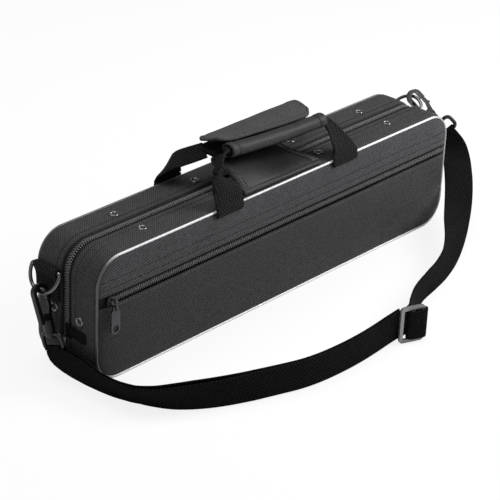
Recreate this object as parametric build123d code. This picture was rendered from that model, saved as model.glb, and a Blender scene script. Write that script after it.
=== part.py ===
from build123d import *
import math
import os

# Flute case: two fabric-covered foam halves joined by a hinge strip along the underside and a coil
# zipper round the ends and top. Millimetres. Origin: underside, on the line where the halves meet.
# +X runs to the right end, -Y to the front (the half with the pocket), +Z up.

# ---------------------------------------------------------------- case halves
case_length = 420.0
case_height = 107.0
front_depth = 34.5
rear_depth = 32.5
corner_radius = 24.0
band_wall = 6.0
seat_gap = 0.05
panel_skin = 1.5
board_thickness = 4.5
rear_foam = 3.0
piping_radius = 1.5
piping_inset = 1.3
piping_seat = 2.6

# ---------------------------------------------------------------- main zipper
groove_half_width = 6.0
tape_seat_width = 1.2
groove_depth = 3.0
tape_thickness = 0.8
tape_edge_gap = 0.9
coil_height = 1.6
coil_half_width = 3.0
coil_split_gap = 0.1
zip_end_height = 33.0
zip_end_tab_reach = 23.5
zip_end_tab_drop = 1.0
zip_end_tab_height = 11.0
hinge_strip_thickness = 0.8
hinge_strip_half_length = case_length / 2 - corner_radius - 4.0
parting_gap = 0.3
side_gap = 0.1

# ---------------------------------------------------------------- pocket
pocket_depth = 6.0
pocket_coil_height_z = 71.0
pocket_tape_half_width = 4.5
pocket_coil_half_width = 2.5
pocket_tape_end_gap = 1.0

# ---------------------------------------------------------------- zip sliders and pulls
slider_length = 11.0
slider_width = 8.6
slider_nose_width = 6.4
slider_plate = 1.2
slider_clearance = 0.4
slider_lip = 0.9
slider_post_width = 1.5
slider_post_length = 1.8
bail_length = 6.4
bail_width = 1.5
bail_wire = 1.1
bail_room = 2.2
link_length = 7.2
link_half_height = 1.5
link_wire = 0.5
link_bail_room = 1.9
pull_length = 24.0
pull_width = 9.0
pull_thickness = 1.5
pull_hole_radius = 3.0
pull_eye_radius = 1.3
pull_eye_play = 0.9
pull_eye_wall = 1.4
pull_neck_length = 7.0
pull_shoulder = 1.5
main_slider_x = 14.0
pocket_slider_x = 14.0 - case_length / 2

# ---------------------------------------------------------------- flute tray
tray_clearance = 0.8
tray_face_y = 1.0
recess_depth = 24.0
recess_corner = 9.0
body_joint_length = 368.0
body_joint_width = 34.0
head_joint_length = 228.0
head_joint_width = 30.0
lip_plate_length = 58.0
lip_plate_width = 36.0
foot_joint_length = 140.0
foot_joint_width = 34.0
lower_row_height = 29.0
upper_row_height = 75.0
row_half_span = 190.5
finger_notch_length = 34.0
finger_notch_width = 40.0
lid_pad_thickness = 6.0

# ---------------------------------------------------------------- rivets
rivet_barrel_radius = 1.9
rivet_flange_radius = 3.1
rivet_bore_radius = 1.2
rivet_dome = 0.9
rivet_washer = 0.5
rivet_hole_clearance = 0.05
rivet_x_outer = 146.0
rivet_x_inner = 57.0
rivet_top_y_rear = 15.5
rivet_top_y_front = -16.0
rivet_end_y_rear = 12.0
rivet_end_height_rear = 52.0
rivet_end_y_front = -16.0
rivet_end_height_front = 50.0

# ---------------------------------------------------------------- carrying handle
webbing_width = 30.0
webbing_thickness = 2.0
handle_foot_x = 69.0
handle_foot_drop = 7.0
handle_pivot_rise = 1.4
handle_bend_gap = 0.9
bend_swell = 0.1
grip_half_length = 57.0
front_leg_end_width = 12.0
rear_leg_end_width = 18.0
flap_corner_radius = 9.0
grip_core_overhang = 3.0
grip_height = 136.0
front_grip_y = -16.5
rear_grip_y = 7.0
sleeve_radius = 9.0
sleeve_core_radius = 5.0
rear_grip_width = 20.0
rear_grip_thickness = 5.0
flap_thickness = 3.0
flap_rear_y = 17.0
flap_drop_y = -31.0
flap_foot_height = 109.2
lower_flap_half_length = 46.0
flap_start_forward = 2.0
flap_seat_drop = 0.75
flap_gap = 0.4

# ---------------------------------------------------------------- shoulder strap hardware
ring_wire = 1.5
ring_half_width = 15.5
ring_corner = 2.5
ring_reach = 19.5
ring_tab_width = 25.0
ring_tab_y = 18.0
ring_bar_height = 84.0
ring_tab_foot_height = 58.0
ring_tab_wall = 1.2
ring_bar_clearance = 0.1
left_ring_lean = 22.0
right_ring_lean = 135.0
hook_inner_radius = 4.0
hook_bar = 3.2
hook_thickness = 4.2
hook_barrel_top = -18.0
hook_barrel_bottom = -31.0
hook_barrel_half_width = 4.4
hook_bill_tip = -7.0
hook_ring_play = 1.7
gate_thickness = 2.6
gate_bar = 2.8
gate_side_gap = 0.25
gate_pin_radius = 0.9
gate_pin_clearance = 0.08
gate_tip_gap = 0.9
gate_pivot_x = -2.3
gate_pivot_z = -23.0
swivel_post_radius = 1.6
swivel_clearance = 0.08
swivel_head_radius = 2.6
swivel_head_height = 1.4
eye_crown_radius = 4.0
eye_crown_height = 4.2
eye_wire = 1.7
eye_inner_width = 19.0
eye_inner_height = 9.0
left_clip_tilt = 22.0
right_clip_axis = (0.44, -0.55, -0.71)
right_eye_turn = 53.0

# ---------------------------------------------------------------- shoulder strap
strap_width = 25.0
strap_thickness = 1.6
strap_bunched_width = 16.0
strap_section_spacing = 9.0
fold_clearance = 0.1
end_loop_clearance = 0.05
end_loop_thickness = 1.5
end_loop_width = 24.0
tri_glide_centre = (21.0, -154.0)
tri_glide_heading = -22.0
tri_glide_height = 32.0
tri_glide_length = 22.0
tri_glide_bar = 3.0
tri_glide_thickness = 2.4

half_length = case_length / 2

# Each station of the strap: its middle, the direction of its width, and its width there. The strap
# runs from the right clip through the tri-glide to the left clip. It stands on its edge on the floor,
# leans outwards round the case's front left corner, and is bunched where it folds round a clip's eye.
strap_route = [
    ((245.1, -9.2, 65.0), (0.504, -0.503, 0.702), strap_bunched_width),
    ((247.6, -12.4, 60.9), (0.504, -0.503, 0.702), 17.0),
    ((247.2, -18.0, 53.8), (0.60, -0.60, 0.45), 21.0),
    ((239.4, -27.0, 44.8), (0.72, -0.69, 0.0), strap_width),
    ((224.2, -41.6, 37.0), (0.67, -0.74, 0.05), strap_width),
    ((205.0, -57.0, 29.0), (0.66, -0.73, 0.15), strap_width),
    ((179.1, -75.0, 22.0), (0.58, -0.66, 0.48), strap_width),
    ((152.8, -92.7, 16.5), (0.36, -0.44, 0.82), strap_width),
    ((129.0, -105.2, 13.8), (0.16, -0.22, 0.96), strap_width),
    ((105.7, -112.9, 12.9), (0.05, -0.08, 1.0), strap_width),
    ((81.3, -118.5, 12.7), (0.0, 0.0, 1.0), strap_width),
    ((57.2, -127.5, 12.7), (0.0, 0.08, 1.0), strap_width),
    ((38.5, -139.2, 13.4), (0.0, 0.12, 0.99), strap_width),
    ((27.0, -146.6, 15.2), (0.0, 0.06, 1.0), strap_width),
    ((15.0, -147.2, 15.6), (0.0, 0.0, 1.0), strap_width),
    ((2.0, -146.6, 14.2), (0.0, 0.0, 1.0), strap_width),
    ((-12.0, -146.9, 12.9), (0.0, 0.0, 1.0), strap_width),
    ((-31.0, -148.0, 12.7), (0.0, 0.0, 1.0), strap_width),
    ((-51.3, -148.2, 12.7), (0.0, 0.0, 1.0), strap_width),
    ((-75.7, -146.8, 12.7), (0.0, 0.0, 1.0), strap_width),
    ((-96.4, -143.2, 12.7), (0.0, 0.0, 1.0), strap_width),
    ((-115.1, -136.6, 12.7), (0.0, 0.0, 1.0), strap_width),
    ((-134.8, -129.8, 12.7), (0.0, 0.0, 1.0), strap_width),
    ((-151.5, -123.4, 12.7), (0.0, -0.05, 1.0), strap_width),
    ((-167.6, -116.0, 12.7), (-0.04, -0.10, 0.99), strap_width),
    ((-181.0, -108.0, 12.7), (-0.10, -0.16, 0.98), strap_width),
    ((-192.6, -99.8, 12.6), (-0.20, -0.24, 0.95), strap_width),
    ((-202.6, -89.5, 12.2), (-0.36, -0.30, 0.88), strap_width),
    ((-209.6, -77.5, 11.8), (-0.48, -0.28, 0.83), strap_width),
    ((-214.0, -64.0, 11.7), (-0.50, -0.12, 0.86), strap_width),
    ((-216.8, -48.0, 12.0), (-0.42, -0.04, 0.91), strap_width),
    ((-218.6, -32.0, 12.4), (-0.26, 0.0, 0.97), strap_width),
    ((-220.8, -18.0, 12.8), (-0.12, -0.10, 0.98), strap_width),
    ((-222.4, -8.0, 14.4), (-0.04, -0.50, 0.86), 21.0),
    ((-222.8, -1.8, 18.0), (0.0, -0.927, 0.375), 18.0),
    ((-222.8, 0.3, 23.2), (0.0, -0.927, 0.375), strap_bunched_width),
]
# The rest of the strap comes back from the left clip to the tri-glide on the case side of the first
# layer, with a slack stretch in between.
return_route = [
    ((-217.6, 0.3, 23.2), (0.0, -0.927, 0.375), strap_bunched_width),
    ((-217.6, -1.8, 18.0), (0.0, -0.927, 0.375), 18.0),
    ((-218.2, -8.2, 14.4), (-0.04, -0.50, 0.86), 21.0),
    ((-217.6, -18.2, 12.8), (-0.12, -0.10, 0.98), strap_width),
    ((-215.8, -32.4, 12.4), (-0.26, 0.0, 0.97), strap_width),
    ((-214.0, -47.6, 12.0), (-0.42, -0.04, 0.91), strap_width),
    ((-211.2, -63.0, 11.7), (-0.50, -0.12, 0.86), strap_width),
    ((-206.2, -75.2, 11.8), (-0.48, -0.28, 0.83), strap_width),
    ((-198.6, -86.0, 12.2), (-0.36, -0.30, 0.88), strap_width),
    ((-188.6, -95.4, 12.6), (-0.20, -0.24, 0.95), strap_width),
    ((-177.8, -103.2, 12.7), (-0.10, -0.16, 0.98), strap_width),
    ((-165.2, -111.2, 12.7), (-0.04, -0.10, 0.99), strap_width),
    ((-149.8, -119.4, 12.7), (0.0, -0.05, 1.0), strap_width),
    ((-133.6, -126.6, 12.7), (0.0, 0.0, 1.0), strap_width),
    ((-114.4, -133.9, 12.7), (0.0, 0.0, 1.0), strap_width),
    ((-95.8, -140.6, 12.7), (0.0, 0.0, 1.0), strap_width),
    ((-75.4, -144.2, 12.7), (0.0, 0.0, 1.0), strap_width),
    ((-51.3, -145.7, 12.7), (0.0, 0.0, 1.0), strap_width),
    ((-31.2, -145.5, 12.7), (0.0, 0.0, 1.0), strap_width),
    ((-12.2, -144.4, 12.9), (0.0, 0.0, 1.0), strap_width),
    ((2.0, -144.0, 14.2), (0.0, 0.0, 1.0), strap_width),
    ((16.5, -144.4, 15.6), (0.0, 0.0, 1.0), strap_width),
]


# ---------------------------------------------------------------- helpers
def xz_plane(y):
    """A plane across the case at depth y, with local x along X and local y along Z."""
    return Plane(origin=(0, y, 0), x_dir=(1, 0, 0), z_dir=(0, -1, 0))


def outline(inset):
    """The case's rounded-rectangle outline, drawn in by an inset."""
    return Pos(0, case_height / 2) * RectangleRounded(
        case_length - 2 * inset, case_height - 2 * inset, corner_radius - inset
    )


def prism(inset, y_front, y_back):
    """The outline filled from y_front to y_back."""
    return extrude(xz_plane(y_back) * outline(inset), y_back - y_front)


def frame_ring(outer_inset, inner_inset, y_front, y_back):
    """A closed band between two insets."""
    return prism(outer_inset, y_front, y_back) - prism(inner_inset, y_front, y_back)


def box_between(low, high):
    """A box from its lowest and highest corners."""
    size = [b - a for a, b in zip(low, high)]
    centre = [(a + b) / 2 for a, b in zip(low, high)]
    return Pos(*centre) * Box(*size)


def to_rear(shape):
    """The same shape on the other side of the line where the halves meet."""
    return mirror(shape, about=Plane.XZ)


def to_right(shape):
    """The same shape at the other end of the case."""
    return mirror(shape, about=Plane.YZ)


def rod(start, end, radius):
    """A round rod between two points."""
    start, end = Vector(*start), Vector(*end)
    axis = end - start
    return Solid.make_cylinder(radius, axis.length, Plane(origin=start, z_dir=axis))


# ---------------------------------------------------------------- case halves
def piping(depth):
    """Round piping in the seam between the band and the panel of a front half."""
    path = (xz_plane(-(depth - piping_inset)) * outline(piping_inset)).wire()
    section = Plane(origin=path @ 0, z_dir=path % 0) * Circle(piping_radius)
    return sweep(section, path=path)


def piping_groove(depth):
    path = (xz_plane(-(depth - piping_inset)) * outline(piping_inset)).wire()
    section = Plane(origin=path @ 0, z_dir=path % 0) * Circle(piping_radius + seat_gap)
    return sweep(section, path=path)


def rivet_places(top_y, end_y, end_height):
    """Where a half's rivets stand, as planes whose z axis points out of the fabric."""
    top = [
        Plane(origin=(x, top_y, case_height), z_dir=(0, 0, 1))
        for x in (-rivet_x_outer, -rivet_x_inner, rivet_x_inner, rivet_x_outer)
    ]
    ends = [
        Plane(origin=(side * half_length, end_y, end_height), z_dir=(side, 0, 0))
        for side in (-1, 1)
    ]
    return top + ends


def rivet():
    """A tubular rivet with a domed flange outside and a washer inside the band."""
    inside = -band_wall
    profile = Polyline(
        (rivet_bore_radius, inside - rivet_washer),
        (rivet_flange_radius, inside - rivet_washer),
        (rivet_flange_radius, inside),
        (rivet_barrel_radius, inside),
        (rivet_barrel_radius, 0),
        (rivet_flange_radius, 0),
        (rivet_flange_radius - 0.2, 0.5 * rivet_dome),
        (0.5 * (rivet_flange_radius + rivet_bore_radius), rivet_dome),
        (rivet_bore_radius, 0.5 * rivet_dome),
        close=True,
    )
    return revolve(Plane.XZ * make_face(profile), Axis.Z)


def half_band(depth, rivet_planes):
    """The foam-stiffened band of a front half: walls, zipper groove, hinge seat and rivet holes."""
    seat_edge = -(groove_half_width - tape_seat_width)
    band = frame_ring(0, band_wall, -(depth - piping_seat), seat_edge)
    band += frame_ring(piping_seat, band_wall, -(depth - panel_skin), -(depth - piping_seat))
    band -= frame_ring(-1, groove_depth, -groove_half_width, 1)
    floor_wall = box_between(
        (-hinge_strip_half_length, -groove_half_width, hinge_strip_thickness),
        (hinge_strip_half_length, -parting_gap, band_wall),
    )
    band += floor_wall
    band -= piping_groove(depth)
    hole = Cylinder(rivet_barrel_radius + rivet_hole_clearance, 4 * band_wall)
    for place in rivet_planes:
        band -= place * hole
    return band


def zip_tape():
    """The front half's zipper tape, along the groove floor from one end round the top to the other."""
    tape = frame_ring(
        groove_depth - tape_thickness, groove_depth, -(groove_half_width - seat_gap), -tape_edge_gap
    )
    return tape & upper_block()


def upper_block():
    """Everything above the zipper's two lower ends."""
    return box_between(
        (-case_length, -case_length, zip_end_height), (case_length, case_length, 2 * case_height)
    )


def zip_coil():
    """The front half's coil, closed up to the two sliders and spread round their posts."""
    top_of_tape = groove_depth - tape_thickness
    coil = frame_ring(top_of_tape - coil_height, top_of_tape, -coil_half_width, -coil_split_gap / 2)
    spread = main_slider_x + slider_length / 2 + slider_clearance
    coil -= box_between((-spread, -tape_edge_gap, band_wall), (spread, tape_edge_gap, 2 * case_height))
    return coil & upper_block()


def gusset():
    """The gathered cloth over the zipper groove at the left end's lower corner."""
    strip = frame_ring(
        hinge_strip_thickness / 2, 1.5 * hinge_strip_thickness, -(groove_half_width - side_gap),
        groove_half_width - side_gap,
    )
    corner = box_between(
        (-case_length, -case_length, -1),
        (-hinge_strip_half_length - 0.2, case_length, zip_end_height - 0.2),
    )
    return strip & corner


def hinge_strip():
    """The cloth strip under both halves that the lid turns on."""
    reach = groove_half_width - side_gap
    return box_between(
        (-hinge_strip_half_length, -reach, 0), (hinge_strip_half_length, reach, hinge_strip_thickness)
    )


def front_board():
    """The stiffener board behind the pocket."""
    back = -(front_depth - panel_skin - pocket_depth) + board_thickness
    return prism(band_wall + seat_gap, back - board_thickness, back)


def upper_panel():
    """The padded panel above the pocket zipper, on the board."""
    skin = prism(piping_seat, -front_depth, -(front_depth - panel_skin))
    foam = prism(
        band_wall + seat_gap, -(front_depth - panel_skin), -(front_depth - panel_skin - pocket_depth)
    )
    above = box_between(
        (-case_length, -case_length, pocket_coil_height_z + pocket_tape_half_width),
        (case_length, case_length, 2 * case_height),
    )
    return ((skin + foam) & above) - piping_groove(front_depth)


def pocket_panel():
    """The cloth face of the pocket, below its zipper."""
    skin = prism(piping_seat, -front_depth, -(front_depth - panel_skin))
    below = box_between(
        (-case_length, -case_length, -1),
        (case_length, case_length, pocket_coil_height_z - pocket_tape_half_width),
    )
    return (skin & below) - piping_groove(front_depth)


def pocket_tape():
    """The pocket zipper's two tapes, with the slit between them."""
    back = -(front_depth - panel_skin)
    reach = half_length - piping_seat - pocket_tape_end_gap
    tapes = []
    for side in (-1, 1):
        low = min(side * tape_edge_gap, side * pocket_tape_half_width)
        high = max(side * tape_edge_gap, side * pocket_tape_half_width)
        tapes.append(box_between(
            (-reach, back - tape_thickness, pocket_coil_height_z + low),
            (reach, back, pocket_coil_height_z + high),
        ))
    return Compound(children=tapes)


def pocket_coil():
    """The pocket zipper's coil, closed from its slider to the right end."""
    face = -(front_depth - panel_skin) - tape_thickness
    start = pocket_slider_x - slider_length / 2 + slider_post_length + 2 * slider_clearance
    end = half_length - piping_seat - pocket_tape_end_gap
    return box_between(
        (start, face - coil_height, pocket_coil_height_z - pocket_coil_half_width),
        (end, face, pocket_coil_height_z + pocket_coil_half_width),
    )


def rear_panel():
    """The rear panel: its cloth skin with the foam board inside the band."""
    skin = prism(piping_seat, -rear_depth, -(rear_depth - panel_skin))
    foam = prism(
        band_wall + seat_gap, -(rear_depth - panel_skin), -(rear_depth - panel_skin - rear_foam)
    )
    return to_rear((skin + foam) - piping_groove(rear_depth))


def recess_sketch():
    """The three recesses of the tray: the body joint below, the head and foot joints above."""
    body = Pos(0, lower_row_height) * RectangleRounded(
        body_joint_length, body_joint_width, recess_corner
    )
    for x in (-body_joint_length / 4, body_joint_length / 4):
        body += Pos(x, lower_row_height) * RectangleRounded(
            finger_notch_length, finger_notch_width, recess_corner
        )
    head_x = -row_half_span + head_joint_length / 2
    head = Pos(head_x, upper_row_height) * RectangleRounded(
        head_joint_length, head_joint_width, recess_corner
    )
    head += Pos(-row_half_span + lip_plate_length + 6, upper_row_height) * RectangleRounded(
        lip_plate_length, lip_plate_width, recess_corner
    )
    foot_x = row_half_span - foot_joint_length / 2
    foot = Pos(foot_x, upper_row_height) * RectangleRounded(
        foot_joint_length, foot_joint_width, recess_corner
    )
    return body + head + foot


def flute_tray():
    """The foam block in the rear half that holds the flute's three joints."""
    back = rear_depth - panel_skin - rear_foam
    block = prism(band_wall + tray_clearance, tray_face_y, back)
    recesses = extrude(xz_plane(tray_face_y + recess_depth) * recess_sketch(), recess_depth + 1)
    return block - recesses


def lid_pad():
    """The plush-covered foam pad on the inside of the lid."""
    back = -(front_depth - panel_skin - pocket_depth) + board_thickness
    return prism(band_wall + tray_clearance, back, back + lid_pad_thickness)


def zip_end_tab():
    """The webbing tab sewn over the zipper's lower end, on the front band."""
    return box_between(
        (-half_length - webbing_thickness, -zip_end_tab_reach, zip_end_height - zip_end_tab_drop),
        (-half_length, -parting_gap - side_gap, zip_end_height + zip_end_tab_height),
    )


# ---------------------------------------------------------------- zip slider and pull
def slider_outline(grow=0.0):
    """Plan of a slider: wide at the nose with the post, narrow at the tail."""
    nose = slider_length / 2 + grow
    tail = -slider_length / 2 - grow
    wide = slider_width / 2 + grow
    narrow = slider_nose_width / 2 + grow
    points = Polyline(
        (tail, -narrow), (0, -wide), (nose - 2, -wide), (nose, -wide + 2),
        (nose, wide - 2), (nose - 2, wide), (0, wide), (tail, narrow), close=True,
    )
    return make_face(points)


def zip_slider():
    """A coil-zipper slider on its tape, nose to +X, outside up: two plates, a post, lips and a bail."""
    half_tape = tape_thickness / 2
    low_top = -half_tape - slider_clearance
    high_bottom = half_tape + coil_height + slider_clearance
    body = extrude(Pos(0, 0, high_bottom) * slider_outline(), slider_plate)
    body += extrude(Pos(0, 0, low_top) * slider_outline(), -slider_plate)
    post_x = slider_length / 2 - slider_post_length / 2
    body += box_between(
        (post_x - slider_post_length / 2, -slider_post_width / 2, low_top - 0.1),
        (post_x + slider_post_length / 2, slider_post_width / 2, high_bottom + 0.1),
    )
    lip_drop = coil_height - half_tape
    for side in (-1, 1):
        outer = side * slider_width / 2
        inner = side * (slider_width / 2 - slider_lip)
        body += box_between(
            (0, min(outer, inner), high_bottom - lip_drop),
            (slider_length / 2 - 2, max(outer, inner), high_bottom + 0.1),
        )
    top = high_bottom + slider_plate
    arch = box_between(
        (-bail_length / 2, -bail_width / 2, top - 0.1),
        (bail_length / 2, bail_width / 2, top + bail_room + bail_wire),
    )
    arch = fillet(arch.edges().filter_by(Axis.Y).group_by(Axis.Z)[-1], 1.4)
    tunnel = box_between(
        (-bail_length / 2 + bail_wire, -bail_width, top),
        (bail_length / 2 - bail_wire, bail_width, top + bail_room),
    )
    return body + (arch - tunnel)


def slider_bail_height():
    """Height of the bail's middle above the tape's middle."""
    return tape_thickness / 2 + coil_height + slider_clearance + slider_plate + bail_room + bail_wire / 2


def pull_link():
    """The oval wire link from the bail to the pull, in the local YZ plane, hanging to -Y."""
    middle = Plane(
        origin=(0, link_bail_room - link_length / 2, 0), x_dir=(0, 1, 0), z_dir=(1, 0, 0)
    )
    path = (middle * SlotOverall(link_length, 2 * link_half_height)).wire()
    section = Plane(origin=path @ 0, z_dir=path % 0) * Circle(link_wire)
    return sweep(section, path=path)


def pull_plate():
    """The pull, flat in the local XY plane, hanging to -Y from its link."""
    eye_y = link_bail_room - link_length + pull_eye_radius - link_wire - pull_eye_play
    top_y = eye_y + pull_eye_radius + pull_eye_wall
    body = Pos(0, top_y - pull_length / 2) * SlotOverall(pull_length, pull_width, rotation=90)
    neck = Pos(0, top_y - pull_neck_length / 2) * RectangleRounded(
        pull_width - 2 * pull_shoulder, pull_neck_length, pull_shoulder
    )
    trim = Pos(0, top_y - pull_neck_length / 4) * Rectangle(pull_width, pull_neck_length / 2)
    face = (body - trim) + neck
    face -= Pos(0, eye_y) * Circle(pull_eye_radius)
    face -= Pos(0, top_y - pull_length + pull_width / 2) * Circle(pull_hole_radius)
    return extrude(Pos(0, 0, -pull_thickness / 2) * face, pull_thickness)


def main_slider_place(side):
    """Plane of a main slider on the top: nose towards the middle, outside up."""
    tape_middle = case_height - groove_depth + tape_thickness / 2
    return Plane(
        origin=(side * main_slider_x, 0, tape_middle), x_dir=(-side, 0, 0), z_dir=(0, 0, 1)
    )


def main_pull_place(side):
    """Plane of a main pull: lying back over the rear band."""
    height = case_height - groove_depth + tape_thickness / 2 + slider_bail_height()
    return Plane(origin=(side * main_slider_x, 0, height), x_dir=(-1, 0, 0), z_dir=(0, 0, 1))


def pocket_slider_place():
    """Plane of the pocket slider: nose to the left end, outside to the front."""
    tape_middle = -(front_depth - panel_skin) - tape_thickness / 2
    return Plane(
        origin=(pocket_slider_x, tape_middle, pocket_coil_height_z), x_dir=(-1, 0, 0), z_dir=(0, -1, 0)
    )


def pocket_pull_place():
    """Plane of the pocket pull: hanging down in front of the pocket."""
    y = -(front_depth - panel_skin) - tape_thickness / 2 - slider_bail_height()
    return Plane(origin=(pocket_slider_x, y, pocket_coil_height_z), x_dir=(1, 0, 0), z_dir=(0, -1, 0))


# ---------------------------------------------------------------- carrying handle
def ribbon(stations, thickness, ruled=True):
    """A flat ribbon through stations of (point, width direction, width)."""
    sections = []
    for index, (point, wide, width) in enumerate(stations):
        before = Vector(*stations[max(index - 1, 0)][0])
        after = Vector(*stations[min(index + 1, len(stations) - 1)][0])
        along = (after - before).normalized()
        wide = Vector(*wide)
        wide = (wide - along * wide.dot(along)).normalized()
        plane = Plane(origin=point, x_dir=wide, z_dir=along)
        sections.append(plane * Rectangle(width, thickness))
    return loft(sections, ruled=ruled)


def handle_pivot(depth):
    """Where a front half's webbing bends over the piping: (y, z)."""
    return -depth - webbing_thickness / 2 - side_gap, case_height + handle_pivot_rise


def handle_feet(depth):
    """The two webbing feet sewn to a front half's panel, up to the bend over the piping."""
    y, z = handle_pivot(depth)
    feet = []
    for x in (-handle_foot_x, handle_foot_x):
        foot = box_between(
            (x - webbing_width / 2, y - webbing_thickness / 2, z - handle_foot_drop),
            (x + webbing_width / 2, y + webbing_thickness / 2 - side_gap,
             z - webbing_thickness / 2 - handle_bend_gap),
        )
        feet.append(foot)
    return Compound(children=feet)


def leg(side, depth, grip_y, grip_end_z, end_width):
    """One webbing leg of a front handle, from its rounded bend to the end of the grip."""
    y, z = handle_pivot(depth)
    rise = grip_end_z - z
    run = grip_y - y
    x = side * handle_foot_x
    end_x = side * (grip_half_length + 2)
    stations = [
        ((x, y, z), (1, 0, 0), webbing_width),
        ((x - side, y + 0.18 * run, z + 0.34 * rise), (1, 0, 0), webbing_width),
        ((x - 4 * side, y + 0.52 * run, z + 0.68 * rise), (1, 0, 0), 0.85 * webbing_width),
        ((end_x, y + 0.92 * run, z + 0.96 * rise), (0.75, -side * 0.66, 0), end_width),
    ]
    bend = rod(
        (x - webbing_width / 2, y, z), (x + webbing_width / 2, y, z), webbing_thickness / 2 + bend_swell
    )
    return ribbon(stations, webbing_thickness) + bend


def front_webbing():
    """The front handle's webbing: two legs and the folded core inside the sleeve."""
    core = rod(
        (-grip_half_length - grip_core_overhang, front_grip_y, grip_height),
        (grip_half_length + grip_core_overhang, front_grip_y, grip_height), sleeve_core_radius,
    )
    reach = grip_half_length + side_gap
    sleeve_span = box_between((-reach, -case_length, 0), (reach, case_length, case_length))
    legs = [
        leg(side, front_depth, front_grip_y, grip_height, front_leg_end_width) - sleeve_span
        for side in (-1, 1)
    ]
    return core + legs[0] + legs[1]


def grip_sleeve():
    """The padded sleeve sewn round the front webbing."""
    outer = rod(
        (-grip_half_length, front_grip_y, grip_height), (grip_half_length, front_grip_y, grip_height),
        sleeve_radius,
    )
    core = rod(
        (-case_length, front_grip_y, grip_height), (case_length, front_grip_y, grip_height),
        sleeve_core_radius + seat_gap,
    )
    return outer - core


def upper_flap():
    """The wrap's upper flap, from the sleeve's top back over the rear webbing."""
    low = grip_height + sleeve_radius - flap_thickness
    plate = box_between(
        (-grip_half_length, front_grip_y, low), (grip_half_length, flap_rear_y, low + flap_thickness)
    )
    corners = plate.edges().filter_by(Axis.Z).group_by(Axis.Y)[-1]
    plate = fillet(corners, flap_corner_radius)
    inside = rod(
        (-case_length, front_grip_y, grip_height), (case_length, front_grip_y, grip_height),
        sleeve_radius + seat_gap,
    )
    return plate - inside


def lower_flap():
    """The wrap's lower flap, hanging from the sleeve to the case's front edge."""
    start = Vector(0, front_grip_y - flap_start_forward, grip_height - sleeve_radius - flap_seat_drop)
    end = Vector(0, flap_drop_y, flap_foot_height + 1.6)
    along = (end - start).normalized()
    plane = Plane(origin=start, x_dir=(1, 0, 0), z_dir=along)
    return extrude(plane * Rectangle(2 * lower_flap_half_length, flap_thickness), (end - start).length)


def rear_webbing():
    """The rear handle: two legs and the flat-folded middle under the wrap."""
    legs = [
        leg(side, rear_depth, -rear_grip_y, grip_height - 1, rear_leg_end_width) for side in (-1, 1)
    ]
    reach = grip_half_length + grip_core_overhang
    height = grip_height - 1
    middle = box_between(
        (-reach, -rear_grip_y - rear_grip_width / 2, height - rear_grip_thickness / 2),
        (reach, -rear_grip_y + rear_grip_width / 2, height + rear_grip_thickness / 2),
    )
    return to_rear(middle + legs[0] + legs[1])


# ---------------------------------------------------------------- rings and tabs
def ring_tab():
    """The left webbing tab: sewn to the rear band below, folded round the ring's bar above."""
    reach = ring_wire + ring_bar_clearance + ring_tab_wall
    axis_x = -half_length - reach - side_gap
    low_y, high_y = ring_tab_y - ring_tab_width / 2, ring_tab_y + ring_tab_width / 2
    plate = box_between(
        (-half_length - 2 * ring_tab_wall, low_y, ring_tab_foot_height),
        (-half_length, high_y, ring_bar_height),
    )
    fold = rod((axis_x, low_y, ring_bar_height), (axis_x, high_y, ring_bar_height), reach)
    hole = rod(
        (axis_x, low_y - 1, ring_bar_height), (axis_x, high_y + 1, ring_bar_height),
        ring_wire + ring_bar_clearance,
    )
    return (plate + fold) - hole


def ring_axis_x():
    return half_length + ring_wire + ring_bar_clearance + ring_tab_wall + side_gap


def d_ring():
    """A wire D-ring: bar on the local X axis, arc hanging to -Z, in the local XZ plane."""
    arc_start = -(ring_reach - ring_half_width)
    side = FilletPolyline(
        (0, 0), (ring_half_width, 0), (ring_half_width, arc_start), radius=ring_corner
    )
    bow = CenterArc((0, arc_start), ring_half_width, 0, -180)
    wire = (Plane.XZ * (side + bow + mirror(side, about=Plane.YZ))).wire()
    section = Plane(origin=wire @ 0, z_dir=wire % 0) * Circle(ring_wire)
    return sweep(section, path=wire)


def ring_place(side, lean):
    """Plane of a ring hung on its tab; lean is measured outwards from hanging straight down."""
    angle = math.radians(lean)
    outward = Vector(side * math.sin(angle), 0, -math.cos(angle))
    return Plane(
        origin=(side * ring_axis_x(), ring_tab_y, ring_bar_height), x_dir=(0, 1, 0), z_dir=-outward
    )


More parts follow.
